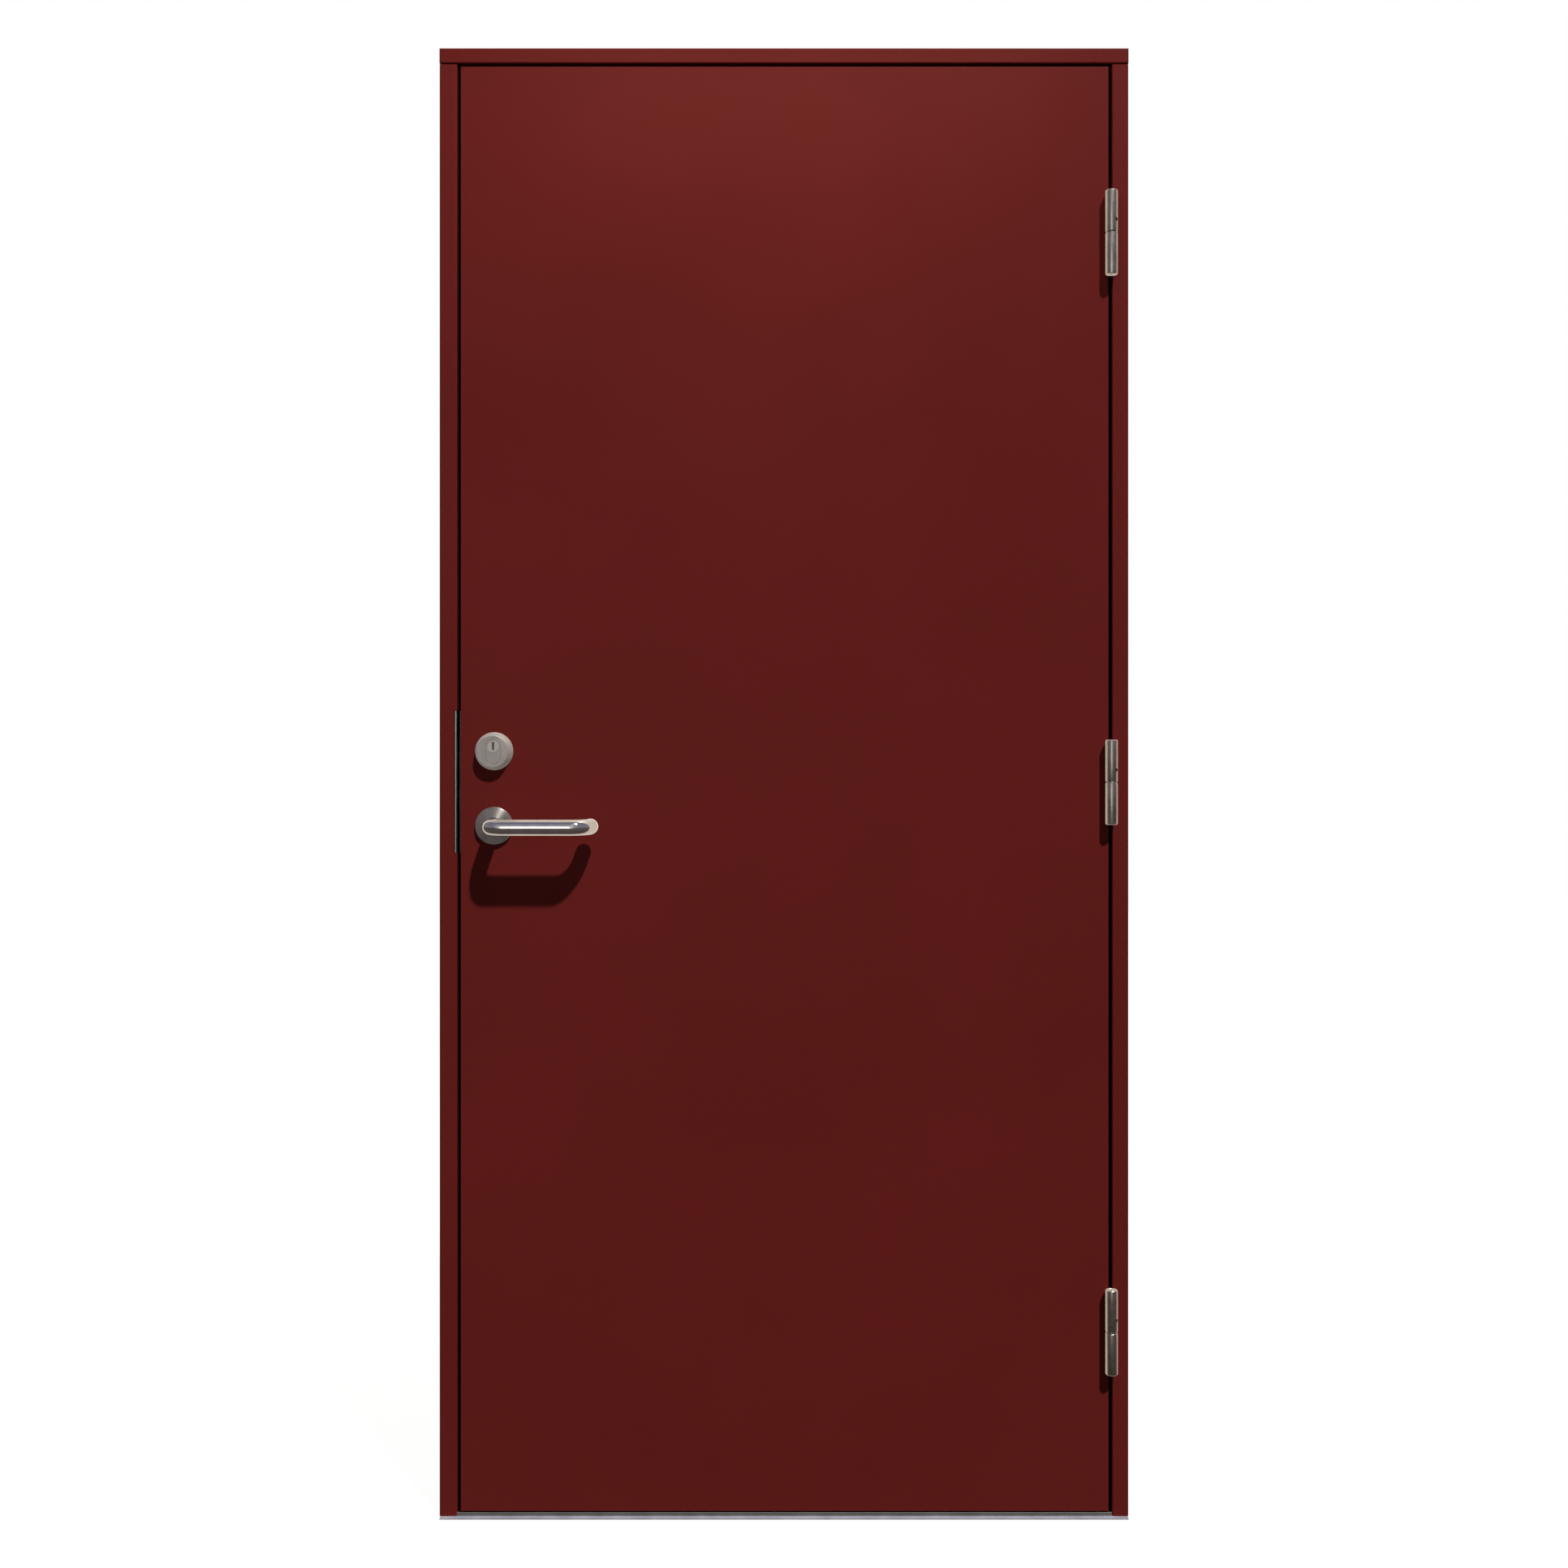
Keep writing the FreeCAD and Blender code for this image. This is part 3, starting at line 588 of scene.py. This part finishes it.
def makePlug():
    front = cylinder["front"]
    back = cylinder["plugBack"]
    plug = addRod("keyPlug", plugPoint(back), plugPoint(front), cylinder["plugRadius"], sides=96)
    openMesh(plug)
    pickEdges(lambda at: near(at.y, front))
    bevelPicked(cylinder["grooveEdge"], steps=2)
    leaveMesh()
    # sloping mouth round the keyway
    start = front - modelling["overcut"]
    mouth = addPlugBlock("mouthCutter", keyway["mouthHalf"], start, front + keyway["mouthDepth"])
    openMesh(mouth)
    pickFacing((0, 1, 0))
    bpy.ops.transform.resize(value=keyway["mouthTaper"], center_override=plugPoint(front))
    depth = keyway["mouthDepth"]
    pick("EDGE", lambda edge: abs((edge.verts[0].co - edge.verts[1].co).y) > depth)  # its sloping edges
    bevelPicked(keyway["mouthCorner"], steps=4)
    leaveMesh()
    carve(plug, mouth)
    half = keyway["width"] / 2, keyway["height"] / 2
    carve(plug, addPlugBlock("keyCutter", half, start, front + keyway["depth"]))
    for side, height in keyway["wards"]:  # ribs that guide the key
        tip = side * keyway["width"] * keyway["wardTip"]
        root = side * (half[0] + keyway["wardRoot"])
        low = (min(tip, root), front + keyway["wardStart"], height - keyway["wardHalf"])
        high = (max(tip, root), back - keyway["wardStop"], height + keyway["wardHalf"])
        carve(plug, addBlock("ward", plugPoint(0) + Vector(low), plugPoint(0) + Vector(high)), "UNION")
    closeMesh(plug, smoothAngle=12)
    # the passage behind the mouth is painted near-black as shade
    plug.data.materials.append(plugBrass)
    plug.data.materials.append(keywayPaintedShade)
    for face in plug.data.polygons:
        beside = abs(face.center.x - lock["x"]) < half[0] + modelling["slack"]
        level = abs(face.center.z - lock["plugHeight"]) < half[1] + modelling["slack"]
        if beside and level and face.center.y > front + keyway["litDepth"]:
            face.material_index = 1
    return plug


setPiece(makeCylinderRing(), "leaf", "cylinder_metal", cylinderSatin, "outside_cylinder_ring")
setPiece(makeCylinderBody(), "leaf", "cylinder_metal", cylinderSatin, "outside_cylinder_body")
setPiece(makePlug(), "key_plug", "cylinder_metal", None, "key_plug")
print("door: outside cylinder made")


screw = {
    "radius": .0036, "shank": .003, "shankShare": .5, "rim": .0003, "rimRise": .0001, "slope": .0012,
    "dome": .00035, "crossLength": .0042, "crossWidth": .0009, "crossDepth": .0011,
    "lengthTaper": .55, "widthTaper": .8,
}


def makeScrew():
    # countersunk cross-head, its face at the origin looking along +Z
    head = addRod("screw", (0, 0, -screw["shank"]), (0, 0, 0), screw["radius"], sides=24)
    openMesh(head)
    pickFacing((0, 0, 1))
    insetPicked(screw["rim"], screw["rimRise"])
    insetPicked(screw["slope"], screw["dome"] - screw["rimRise"])
    pickFacing((0, 0, -1))
    bpy.ops.transform.resize(value=(screw["shankShare"], screw["shankShare"], 1), center_override=(0, 0, 0))
    leaveMesh()
    long, narrow = screw["crossLength"] / 2, screw["crossWidth"] / 2
    slim, wide = screw["lengthTaper"], screw["widthTaper"]
    bottom, top = -screw["crossDepth"], screw["dome"] + modelling["overcut"]
    for x, y, taperX, taperY in ((long, narrow, slim, wide), (narrow, long, wide, slim)):
        bar = addBlock("crossCutter", (-x, -y, bottom), (x, y, top))
        openMesh(bar)
        pickFacing((0, 0, -1))
        bpy.ops.transform.resize(value=(taperX, taperY, 1), center_override=(0, 0, 0))
        leaveMesh()
        carve(head, bar)
    return closeMesh(head, smoothAngle=30)


def placeScrews(name, body, slot, places):
    # copies of the screw, each facing its direction and stopped at its own angle
    copies = []
    for index, (point, facing) in enumerate(places):
        turn = Matrix.Rotation(random.uniform(0, pi / 2), 4, "Z")
        place = Matrix.Translation(point) @ facingAlong(facing) @ turn
        copies.append(copyTo(modelScrew, f"{name}{index}", place))
    setPiece(joinPieces(name, copies), body, slot, zincScrew)


modelScrew = makeScrew()


hinge = {
    "axisX": .4641, "axisY": -.0095, "centres": {"bottom": .267, "middle": 1.046, "top": 1.825},
    "barrelRadius": .0085, "halfLength": .060, "gap": .00085, "endEdge": .0016, "jointEdge": .0009,
    "pinBore": .0046, "boreDepth": .052,
    "capRim": .0011, "capGroove": .0003, "capGrooveDepth": .0004, "capFace": .0035,
    "capHole": .0004, "capHoleDepth": .0012,
    "frameFlap": (.4666, .4691), "leafFlap": (.4591, .4616), "flapFront": -.0045, "flapBack": .036,
    "flapFar": .058, "flapNear": .004, "flapCorner": .004,
    "flapScrews": ((.012, .026), (.031, .012), (.050, .026)),
    "setScrewHeight": .0174, "setScrewAngle": -42, "setScrewFace": .0070, "setScrewHole": .0026,
    "setScrewHoleSpan": (.0058, .012),
}


def makeHingeHalf(name, middle, up, flapX):
    # up is 1 for the leaf's half, above the joint, and -1 for the frame's half below it
    def at(x, y, along):
        return Vector((x, y, middle + up * along))

    axis = hinge["axisX"], hinge["axisY"]
    barrel = addRod(name, at(*axis, hinge["gap"]), at(*axis, hinge["halfLength"]), hinge["barrelRadius"])
    openMesh(barrel)
    endZ, jointZ = middle + up * hinge["halfLength"], middle + up * hinge["gap"]
    pickEdges(lambda point: near(point.z, endZ))
    bevelPicked(hinge["endEdge"])
    pickEdges(lambda point: near(point.z, jointZ))
    bevelPicked(hinge["jointEdge"])
    pickFacing((0, 0, up), lambda point: near(point.z, endZ))
    insetPicked(hinge["capRim"])
    insetPicked(hinge["capGroove"], -hinge["capGrooveDepth"])
    insetPicked(hinge["capGroove"], hinge["capGrooveDepth"])
    insetPicked(hinge["capFace"])
    insetPicked(hinge["capHole"], -hinge["capHoleDepth"])
    pickFacing((0, 0, -up), lambda point: near(point.z, jointZ))
    insetPicked(hinge["barrelRadius"] - hinge["jointEdge"] - hinge["pinBore"])
    extrudePicked((0, 0, up * hinge["boreDepth"]))
    leaveMesh()
    low = at(flapX[0], hinge["flapFront"], hinge["flapNear"])
    high = at(flapX[1], hinge["flapBack"], hinge["flapFar"])
    low.z, high.z = sorted((low.z, high.z))
    flap = addBlock("flap", low, high)
    openMesh(flap)
    pickLongEdges(0, lambda end: near(end.y, hinge["flapBack"]))
    bevelPicked(hinge["flapCorner"], steps=5)
    leaveMesh()
    return carve(barrel, flap, "UNION")


setScrew = {"length": .0012, "play": .0001, "edge": .0003, "socketRadius": .0014, "socketDepth": .0009}


def makeSetScrew():
    # headless screw with a six-sided socket, its face at the origin looking along +Z
    radius = hinge["setScrewHole"] - setScrew["play"]
    stud = addRod("setScrew", (0, 0, -setScrew["length"]), (0, 0, 0), radius, sides=24)
    openMesh(stud)
    pickEdges(lambda at: near(at.z, 0))
    bevelPicked(setScrew["edge"], steps=2)
    leaveMesh()
    socket = addRod("socketCutter", (0, 0, -setScrew["socketDepth"]), (0, 0, modelling["overcut"]),
                    setScrew["socketRadius"], sides=6)
    return closeMesh(carve(stud, socket), smoothAngle=30)


frameScrews, leafScrews, setScrews = [], [], []
modelSetScrew = makeSetScrew()
for place, middle in hinge["centres"].items():
    frameHalf = makeHingeHalf(f"{place}HingeFrameHalf", middle, -1, hinge["frameFlap"])
    closeMesh(frameHalf, smoothAngle=25)
    setPiece(frameHalf, "frame", "hinge_steel", hingeSatin, f"{place}_hinge_frame_half")
    doorHalf = makeHingeHalf(f"{place}HingeDoorHalf", middle, 1, hinge["leafFlap"])
    way = Matrix.Rotation(radians(hinge["setScrewAngle"]), 3, "Z") @ Vector((1, 0, 0))
    seat = Vector((hinge["axisX"], hinge["axisY"], middle + hinge["setScrewHeight"]))
    holeStart, holeEnd = (seat + way * distance for distance in hinge["setScrewHoleSpan"])
    carve(doorHalf, addRod("setScrewHole", holeStart, holeEnd, hinge["setScrewHole"], sides=32))
    closeMesh(doorHalf, smoothAngle=25)
    setPiece(doorHalf, "leaf", "hinge_steel", hingeSatin, f"{place}_hinge_door_half")
    setScrewPlace = Matrix.Translation(seat + way * hinge["setScrewFace"]) @ facingAlong(way)
    setScrews.append(copyTo(modelSetScrew, f"{place}SetScrew", setScrewPlace))
    for step, y in hinge["flapScrews"]:
        frameScrews.append(((hinge["frameFlap"][0], y, middle - step), (-1, 0, 0)))
        leafScrews.append(((hinge["leafFlap"][1], y, middle + step), (1, 0, 0)))
setPiece(joinPieces("hingeSetScrews", setScrews), "leaf", "hinge_steel", blackSteel, "hinge_set_screws")
bpy.data.objects.remove(modelSetScrew)
print("door: hinges made")


cap = {
    "radius": .0098, "back": -.002, "face": .0012, "edge": .0009, "rim": .003, "slope": .0012, "dish": .0004,
    "strikeJamb": -.450, "hingeJamb": .4516, "y": .073, "heights": (.130, .730, 1.330, 1.930),
}


def makeCap():
    # push-in cover over a fixing sleeve, its face looking along +Z
    cover = addRod("cap", (0, 0, cap["back"]), (0, 0, cap["face"]), cap["radius"], sides=40)
    openMesh(cover)
    pickEdges(lambda at: near(at.z, cap["face"]))
    bevelPicked(cap["edge"])
    pickFacing((0, 0, 1), lambda at: near(at.z, cap["face"]))
    insetPicked(cap["rim"])
    insetPicked(cap["slope"], -cap["dish"])
    return closeMesh(cover, smoothAngle=30)


modelCap = makeCap()
caps = []
for x, side in ((cap["strikeJamb"], 1), (cap["hingeJamb"], -1)):
    for z in cap["heights"]:
        place = Matrix.Translation((x, cap["y"], z)) @ facingAlong((side, 0, 0))
        caps.append(copyTo(modelCap, f"cap{len(caps)}", place))
setPiece(joinPieces("sleeveCaps", caps), "frame", "black_plastic", blackPlastic)
bpy.data.objects.remove(modelCap)


edgeScrews = {"strikeY": .026, "strikeEnd": .016, "forendEnd": .009, "forendSink": .0004}
strikeLow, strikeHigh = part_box("strike_plate")
forendLow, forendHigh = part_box("lock_forend")
strikeScrews = [((strikeHigh.x, edgeScrews["strikeY"], z), (1, 0, 0))
                for z in (strikeLow.z + edgeScrews["strikeEnd"], strikeHigh.z - edgeScrews["strikeEnd"])]
forendScrews = [((forendLow.x + edgeScrews["forendSink"], leafMiddle, z), (-1, 0, 0))
                for z in (forendLow.z + edgeScrews["forendEnd"], forendHigh.z - edgeScrews["forendEnd"])]
roseScrews = [((lock["x"] + side * rose["screwAside"], rose["screwFace"], lock["handleHeight"]),
               (side * rose["screwLean"], 1, 0)) for side in (-1, 1)]
placeScrews("frameFlapScrews", "frame", "hinge_steel", frameScrews)
placeScrews("leafFlapScrews", "leaf", "hinge_steel", leafScrews)
placeScrews("strikeScrews", "frame", "lock_steel", strikeScrews)
placeScrews("forendScrews", "leaf", "lock_steel", forendScrews)
placeScrews("roseScrews", "leaf", "handle_steel", roseScrews)
bpy.data.objects.remove(modelScrew)
print("door: screws and caps placed")


insideRing = {"start": .050, "radius": .0265, "height": .012, "edge": .0018, "cutSpan": (.03, .08)}
thumbturn = {
    "root": .030, "face": .062, "faceEdge": .00035, "stemRadius": .006, "stemStart": .058, "stemEnd": .071,
    "wingWidth": .011, "wingHeight": .032, "wingStart": .068, "wingEnd": .083,
    "wingTaper": (.62, 1, .9), "edge": .0022,
}


def makeInsideRing():
    foot = Vector((lock["x"], insideRing["start"], lock["cylinderHeight"]))
    face = foot + Vector((0, insideRing["height"], 0))
    ring = addRod("insideCylinderRing", foot, face, insideRing["radius"], sides=128)
    openMesh(ring)
    pickEdges(lambda at: near(at.y, face.y))
    bevelPicked(insideRing["edge"], steps=4)
    leaveMesh()
    carve(ring, makeOvalCutter(*insideRing["cutSpan"]))
    return closeMesh(ring, smoothAngle=12)


def makeThumbturn():
    face = thumbturn["face"]
    body = makeOval("insideThumbturn", cylinder["ovalWidth"], cylinder["ovalHeight"], face, thumbturn["root"])
    openMesh(body)
    pickEdges(lambda at: near(at.y, face))
    bevelPicked(thumbturn["faceEdge"], steps=2)
    leaveMesh()
    start, end = plugPoint(thumbturn["stemStart"]), plugPoint(thumbturn["stemEnd"])
    carve(body, addRod("stem", start, end, thumbturn["stemRadius"], sides=48), "UNION")
    half = thumbturn["wingWidth"] / 2, thumbturn["wingHeight"] / 2
    wing = addPlugBlock("wing", half, thumbturn["wingStart"], thumbturn["wingEnd"])
    openMesh(wing)
    pickFacing((0, 1, 0))
    bpy.ops.transform.resize(value=thumbturn["wingTaper"], center_override=plugPoint(thumbturn["wingEnd"]))
    bpy.ops.mesh.select_all(action="SELECT")
    bevelPicked(thumbturn["edge"], steps=4)
    leaveMesh()
    carve(body, wing, "UNION")
    return closeMesh(body, smoothAngle=30)


setPiece(makeInsideRing(), "leaf", "cylinder_metal", cylinderSatin, "inside_cylinder_ring")
setPiece(makeThumbturn(), "leaf", "cylinder_metal", cylinderSatin, "inside_thumbturn")
print("door: inside fittings made")


threshold = {
    "endGap": .0012, "noseEdge": .0004, "lipEnds": (-.4658, .4664), "lipFront": .0008, "lipBack": .0030,
    "lipFoot": .0016, "lipTop": .0068, "rampEnd": .0115, "rampTop": .0021, "lipEdge": .0005,
}


def makeThreshold():
    low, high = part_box("threshold_plate")
    inset = Vector((threshold["endGap"], 0, 0))
    plate = addBlock("thresholdPlate", low + inset, high - inset)
    openMesh(plate)
    pickEdges(lambda at: near(at.y, low.y) and near(at.z, high.z))
    bevelPicked(threshold["noseEdge"], steps=4)
    return closeMesh(plate, smoothAngle=30)


def makeThresholdLip():
    # low bar under the leaf's front edge, sloping down behind; its dark finish is painted shade
    left, right = threshold["lipEnds"]
    front, back = threshold["lipFront"], threshold["lipBack"]
    top = threshold["lipTop"]
    lip = addBlock("thresholdLip", (left, front, threshold["lipFoot"]), (right, back, top))
    openMesh(lip)
    pickFacing((0, 1, 0))
    extrudePicked((0, threshold["rampEnd"] - back, 0))
    pick("VERT", lambda point: near(point.co.y, threshold["rampEnd"]) and near(point.co.z, top))
    bpy.ops.transform.translate(value=(0, 0, threshold["rampTop"] - top))
    pickLongEdges(0, lambda end: near(end.z, top))
    bevelPicked(threshold["lipEdge"])
    return closeMesh(lip, smoothAngle=40)


setPiece(makeThreshold(), "frame", "threshold_steel", thresholdMetal, "threshold_plate")
setPiece(makeThresholdLip(), "frame", "threshold_steel", lipPaintedShadeMetal)
print("door: threshold made")


strikeLip = {"gap": .0017, "gapDepth": .0025, "edge": .0004}


def makeStrikePlate():
    # the solid's own form, with a shadow gap left beside its lip
    plate = copyTo(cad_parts["strike_plate"], "strikePlate", Matrix.Identity(4))
    closeMesh(plate)
    past = modelling["overcut"]
    carve(plate, addBlock("gapCutter", (strikeLow.x - past, -past, strikeLow.z - past),
                          (strikeHigh.x - strikeLip["gap"], strikeLip["gapDepth"], strikeHigh.z + past)))
    openMesh(plate)
    pickEdges(lambda at: near(at.y, 0) and near(at.x, strikeHigh.x))
    bevelPicked(strikeLip["edge"], steps=2)
    return closeMesh(plate, smoothAngle=30)


setPiece(makeStrikePlate(), "frame", "lock_steel", lockStrip, "strike_plate")

bearing = {
    "cageBore": .0048, "cageRadius": .0054, "cageHalf": .0004,
    "ballCircle": .0060, "ballRadius": .00078, "balls": 10, "firstBall": .3,
}


def makeBearings():
    # a row of balls in the gap between the halves of each hinge
    ball = addPrimitive("ball", bpy.ops.mesh.primitive_uv_sphere_add, segments=14, ring_count=8,
                        radius=bearing["ballRadius"])
    parts = []
    for place, middle in hinge["centres"].items():
        centre = Vector((hinge["axisX"], hinge["axisY"], middle))
        up = Vector((0, 0, bearing["cageHalf"]))
        cage = addRod("cage", centre - up, centre + up, bearing["cageRadius"], sides=48)
        carve(cage, addRod("cageBore", centre - 3 * up, centre + 3 * up, bearing["cageBore"], sides=48))
        parts.append(cage)
        for index in range(bearing["balls"]):
            angle = 2 * pi * (index + bearing["firstBall"]) / bearing["balls"]
            spot = centre + bearing["ballCircle"] * Vector((sin(angle), -cos(angle), 0))
            parts.append(copyTo(ball, f"ball{place}{index}", Matrix.Translation(spot)))
    bpy.data.objects.remove(ball)
    return closeMesh(joinPieces("hingeBearings", parts), smoothAngle=40)


setPiece(makeBearings(), "frame", "hinge_steel", zincScrew, "hinge_rings")
print("door: strike plate and bearings made")


seal = {"bulb": .0021, "rib": .0004, "grooveWidth": .0002, "grooveDepth": .0006}


def makeSeal(name, node, lengthAxis):
    # extruded seal: a soft bulb towards the leaf and a groove down each side
    low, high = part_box(node)
    strip = addBlock(name, low, high)
    openMesh(strip)
    pickLongEdges(lengthAxis, lambda end: near(end.y, low.y))
    bevelPicked(seal["bulb"], steps=5)
    side = Vector((0, 0, 0))
    side[2 - lengthAxis] = 1
    for way in (side, -side):
        pickFacing(way)
        insetPicked(seal["rib"])
        insetPicked(seal["grooveWidth"], -seal["grooveDepth"])
    return closeMesh(strip, smoothAngle=40)


seals = (("headSeal", "head_seal", 0), ("strikeSideSeal", "strike_side_seal", 2),
         ("hingeSideSeal", "hinge_side_seal", 2), ("thresholdSeal", "threshold_seal", 0))
for name, node, lengthAxis in seals:
    setPiece(makeSeal(name, node, lengthAxis), "frame", "seal_rubber", sealRubber, node)
print("door: seals made")


# studio: pale floor, one high key light, soft fill, and a bright bar over the door
studio = {
    "sunTravel": (-.6, 1, -1.8), "sunStrength": 5.6, "sunAngle": 2.0,
    "fillTravel": (-.21, 1, -.32), "fillStrength": .17, "fillAngle": 5, "ambient": .009,
    "topBar": 2.75, "topColour": (1, .90, .72), "frontBox": 1, "frontColour": (1, .93, .74),
    "sideBox": 26, "backBox": 125,
    "cardColour": (1, .96, .86), "cardY": -.0003,
    "cards": (("upperCard", (-.475, .76), (.30, 2.09), .82), ("hingeCard", (.30, .12), (.49, 2.09), 1.2)),
}


def addLight(name, kind, energy, location, aim, mirrored="yes", **settings):
    lamp = bpy.data.lights.new(name, kind)
    lamp.energy = energy
    for key, value in settings.items():
        setattr(lamp, key, value)
    holder = bpy.data.objects.new(name, lamp)
    bpy.context.scene.collection.objects.link(holder)
    holder.location = location
    holder.rotation_euler = Vector(aim).to_track_quat("-Z", "Y").to_euler()
    holder.visible_camera = False
    holder.visible_glossy = mirrored != "no"
    holder.visible_diffuse = mirrored != "only"


def addBox(name, energy, location, aim, wide, tall, mirrored="no", colour=(1, 1, 1)):
    addLight(name, "AREA", energy, location, aim, mirrored,
             color=colour, shape="RECTANGLE", size=wide, size_y=tall)


addLight("keySun", "SUN", studio["sunStrength"], (2, -3, 5), studio["sunTravel"],
         angle=radians(studio["sunAngle"]))
addBox("topBar", studio["topBar"], (0, -.30, 2.20), (0, .17, -.98), .9, .08, "no", studio["topColour"])
addBox("frontBox", studio["frontBox"], (.12, -3.35, 3.45), (0, 1, -.7), .24, .2, "yes", studio["frontColour"])
addLight("fillSun", "SUN", studio["fillStrength"], (1, -3, 3), studio["fillTravel"], "no",
         angle=radians(studio["fillAngle"]))
addBox("sideBox", studio["sideBox"], (-3, .8, 1.7), (1, -.25, -.2), 1.4, 1.4)
addBox("backBox", studio["backBox"], (-1.2, 3.0, 2.4), (.35, -1, -.45), 1.6, 1.6)
# pale cards in the door's plane that only show in the rims of the polished metal
for name, (x0, z0), (x1, z1), glow in studio["cards"]:
    wide, tall = x1 - x0, z1 - z0
    middle = ((x0 + x1) / 2, studio["cardY"], (z0 + z1) / 2)
    addBox(name, pi * wide * tall * glow, middle, (0, -1, 0), wide, tall, "only", studio["cardColour"])


room = {  # what polished metal mirrors; places are parts of a ray's direction
    "shades": ((.0, (.22, .18, .16)), (.25, (.17, .135, .12)), (.48, (.12, .095, .085)),
               (.52, (.30, .28, .34)), (.75, (.27, .27, .37)), (1.0, (.22, .22, .31))),
    "stripX": -.136, "stripZ": .05, "stripGlow": 3.2, "coreWidth": (.054, .094), "stripHeight": (.22, .26),
    "wingShare": .3, "wingWidth": (.067, .45),
    "overheadShare": .15, "overheadStart": (0, .05), "overheadEnd": (.25, .85), "overheadWidth": (.12, .6),
    "behindStart": (-.05, .15), "behindEnd": (.6, .85), "behindSide": (-.6, -.35),
    "behindColour": (1, .95, .87, 1), "softColour": (.95, .97, 1, 1),
}


def makeWorld():
    world = bpy.data.worlds.new("studio")
    bpy.context.scene.world = world
    world.use_nodes = True
    tree = world.node_tree
    tree.nodes.clear()
    way = addNode(tree, "SeparateXYZ", {"Vector": addNode(tree, "TexCoord").outputs["Generated"]}).outputs

    def rising(value, span):
        return spreadOf(tree, value, 0, 1, *span)

    def falling(value, span, top=1):
        return spreadOf(tree, value, top, 0, *span)

    def times(first, second):
        return mathOf(tree, "MULTIPLY", first, second)

    ramp = addNode(tree, "ValToRGB", {"Fac": rising(way["Z"], (-1, 1))})
    bar = ramp.color_ramp
    while len(bar.elements) < len(room["shades"]):
        bar.elements.new(.5)
    for element, (position, colour) in zip(bar.elements, room["shades"]):
        element.position = position
        element.color = (*colour, 1)
    # a narrow upright strip lamp in front and one behind, with a fainter glow beside each and overhead
    aside = mathOf(tree, "ABSOLUTE", mathOf(tree, "SUBTRACT", way["X"], room["stripX"]))
    above = mathOf(tree, "ABSOLUTE", mathOf(tree, "SUBTRACT", way["Z"], room["stripZ"]))
    core = falling(aside, room["coreWidth"])
    wings = falling(aside, room["wingWidth"], room["wingShare"])
    strip = times(mathOf(tree, "MAXIMUM", core, wings), falling(above, room["stripHeight"]))
    overhead = falling(way["Z"], room["overheadEnd"], room["overheadShare"])
    overhead = times(rising(way["Z"], room["overheadStart"]), overhead)
    strip = mathOf(tree, "MAXIMUM", strip, times(overhead, falling(aside, room["overheadWidth"])))
    lit = mixOf(tree, strip, ramp.outputs["Color"], (*[room["stripGlow"]] * 3, 1), clamp_factor=True)
    behind = times(rising(way["Y"], room["behindStart"]), falling(way["Y"], room["behindEnd"]))
    behind = times(behind, rising(way["X"], room["behindSide"]))
    shine = mixOf(tree, behind, lit, room["behindColour"])
    rays = addNode(tree, "LightPath").outputs

    def backdrop(colour, strength=1):
        return addNode(tree, "Background", {"Color": colour, "Strength": strength}).outputs[0]

    def forRay(ray, others, those):
        return addNode(tree, "MixShader", {"Fac": rays[ray], 1: others, 2: those}).outputs[0]

    unseen = forRay("Is Glossy Ray", backdrop(room["softColour"], studio["ambient"]), backdrop(shine))
    whole = forRay("Is Camera Ray", unseen, backdrop((1, 1, 1, 1)))
    addNode(tree, "OutputWorld", {"Surface": whole})


makeWorld()

ground = {
    "size": 16, "drop": .0004, "roughness": .9, "glow": .92,
    "shade": (.085, .076, .07, 1), "mirroredShade": (.040, .033, .032, 1),
    "beyondY": (.05, .3), "beyondX": (-1.1, -.5),
}


def makeFloor():
    floor = addPrimitive("floor", bpy.ops.mesh.primitive_plane_add, size=ground["size"],
                         location=(0, 0, -ground["drop"]))
    finish, tree, shader = startFinish("paleFloor", Roughness=ground["roughness"])
    rays = addNode(tree, "LightPath").outputs
    place = addNode(tree, "SeparateXYZ", {"Vector": addNode(tree, "TexCoord").outputs["Object"]}).outputs
    beyond = mathOf(tree, "MULTIPLY", spreadOf(tree, place["Y"], 0, 1, *ground["beyondY"]),
                    spreadOf(tree, place["X"], 0, 1, *ground["beyondX"]))
    # it reads white, also mirrored in metal from behind the door
    mirrored = mathOf(tree, "MULTIPLY", rays["Is Glossy Ray"], beyond)
    shade = mixOf(tree, rays["Is Glossy Ray"], ground["shade"], ground["mirroredShade"])
    tree.links.new(shade, shader.inputs["Base Color"])
    seen = mathOf(tree, "MAXIMUM", rays["Is Camera Ray"], mirrored)
    strength = mathOf(tree, "MULTIPLY", seen, ground["glow"])
    glow = addNode(tree, "Emission", {"Color": (1, 1, 1, 1), "Strength": strength})
    both = addNode(tree, "AddShader", {0: shader.outputs[0], 1: glow.outputs[0]})
    tree.links.new(both.outputs[0], tree.nodes["Material Output"].inputs["Surface"])
    floor.data.materials.append(finish)


makeFloor()

view = {
    "distance": 2.5, "height": 1.13, "lens": 40.36, "sensor": 36,
    "frameMiddle": 1.0431, "frameHeight": 2.2302,
}
lens = bpy.data.cameras.new("camera")
lens.lens = view["lens"]
lens.sensor_width = view["sensor"]
lens.shift_y = (view["frameMiddle"] - view["height"]) / view["frameHeight"]
camera = bpy.data.objects.new("camera", lens)
camera.location = (0, -view["distance"], view["height"])
camera.rotation_euler = (pi / 2, 0, 0)
bpy.context.scene.collection.objects.link(camera)
bpy.context.scene.camera = camera
bpy.context.scene.view_settings.view_transform = "Standard"
print("door: studio and camera set")
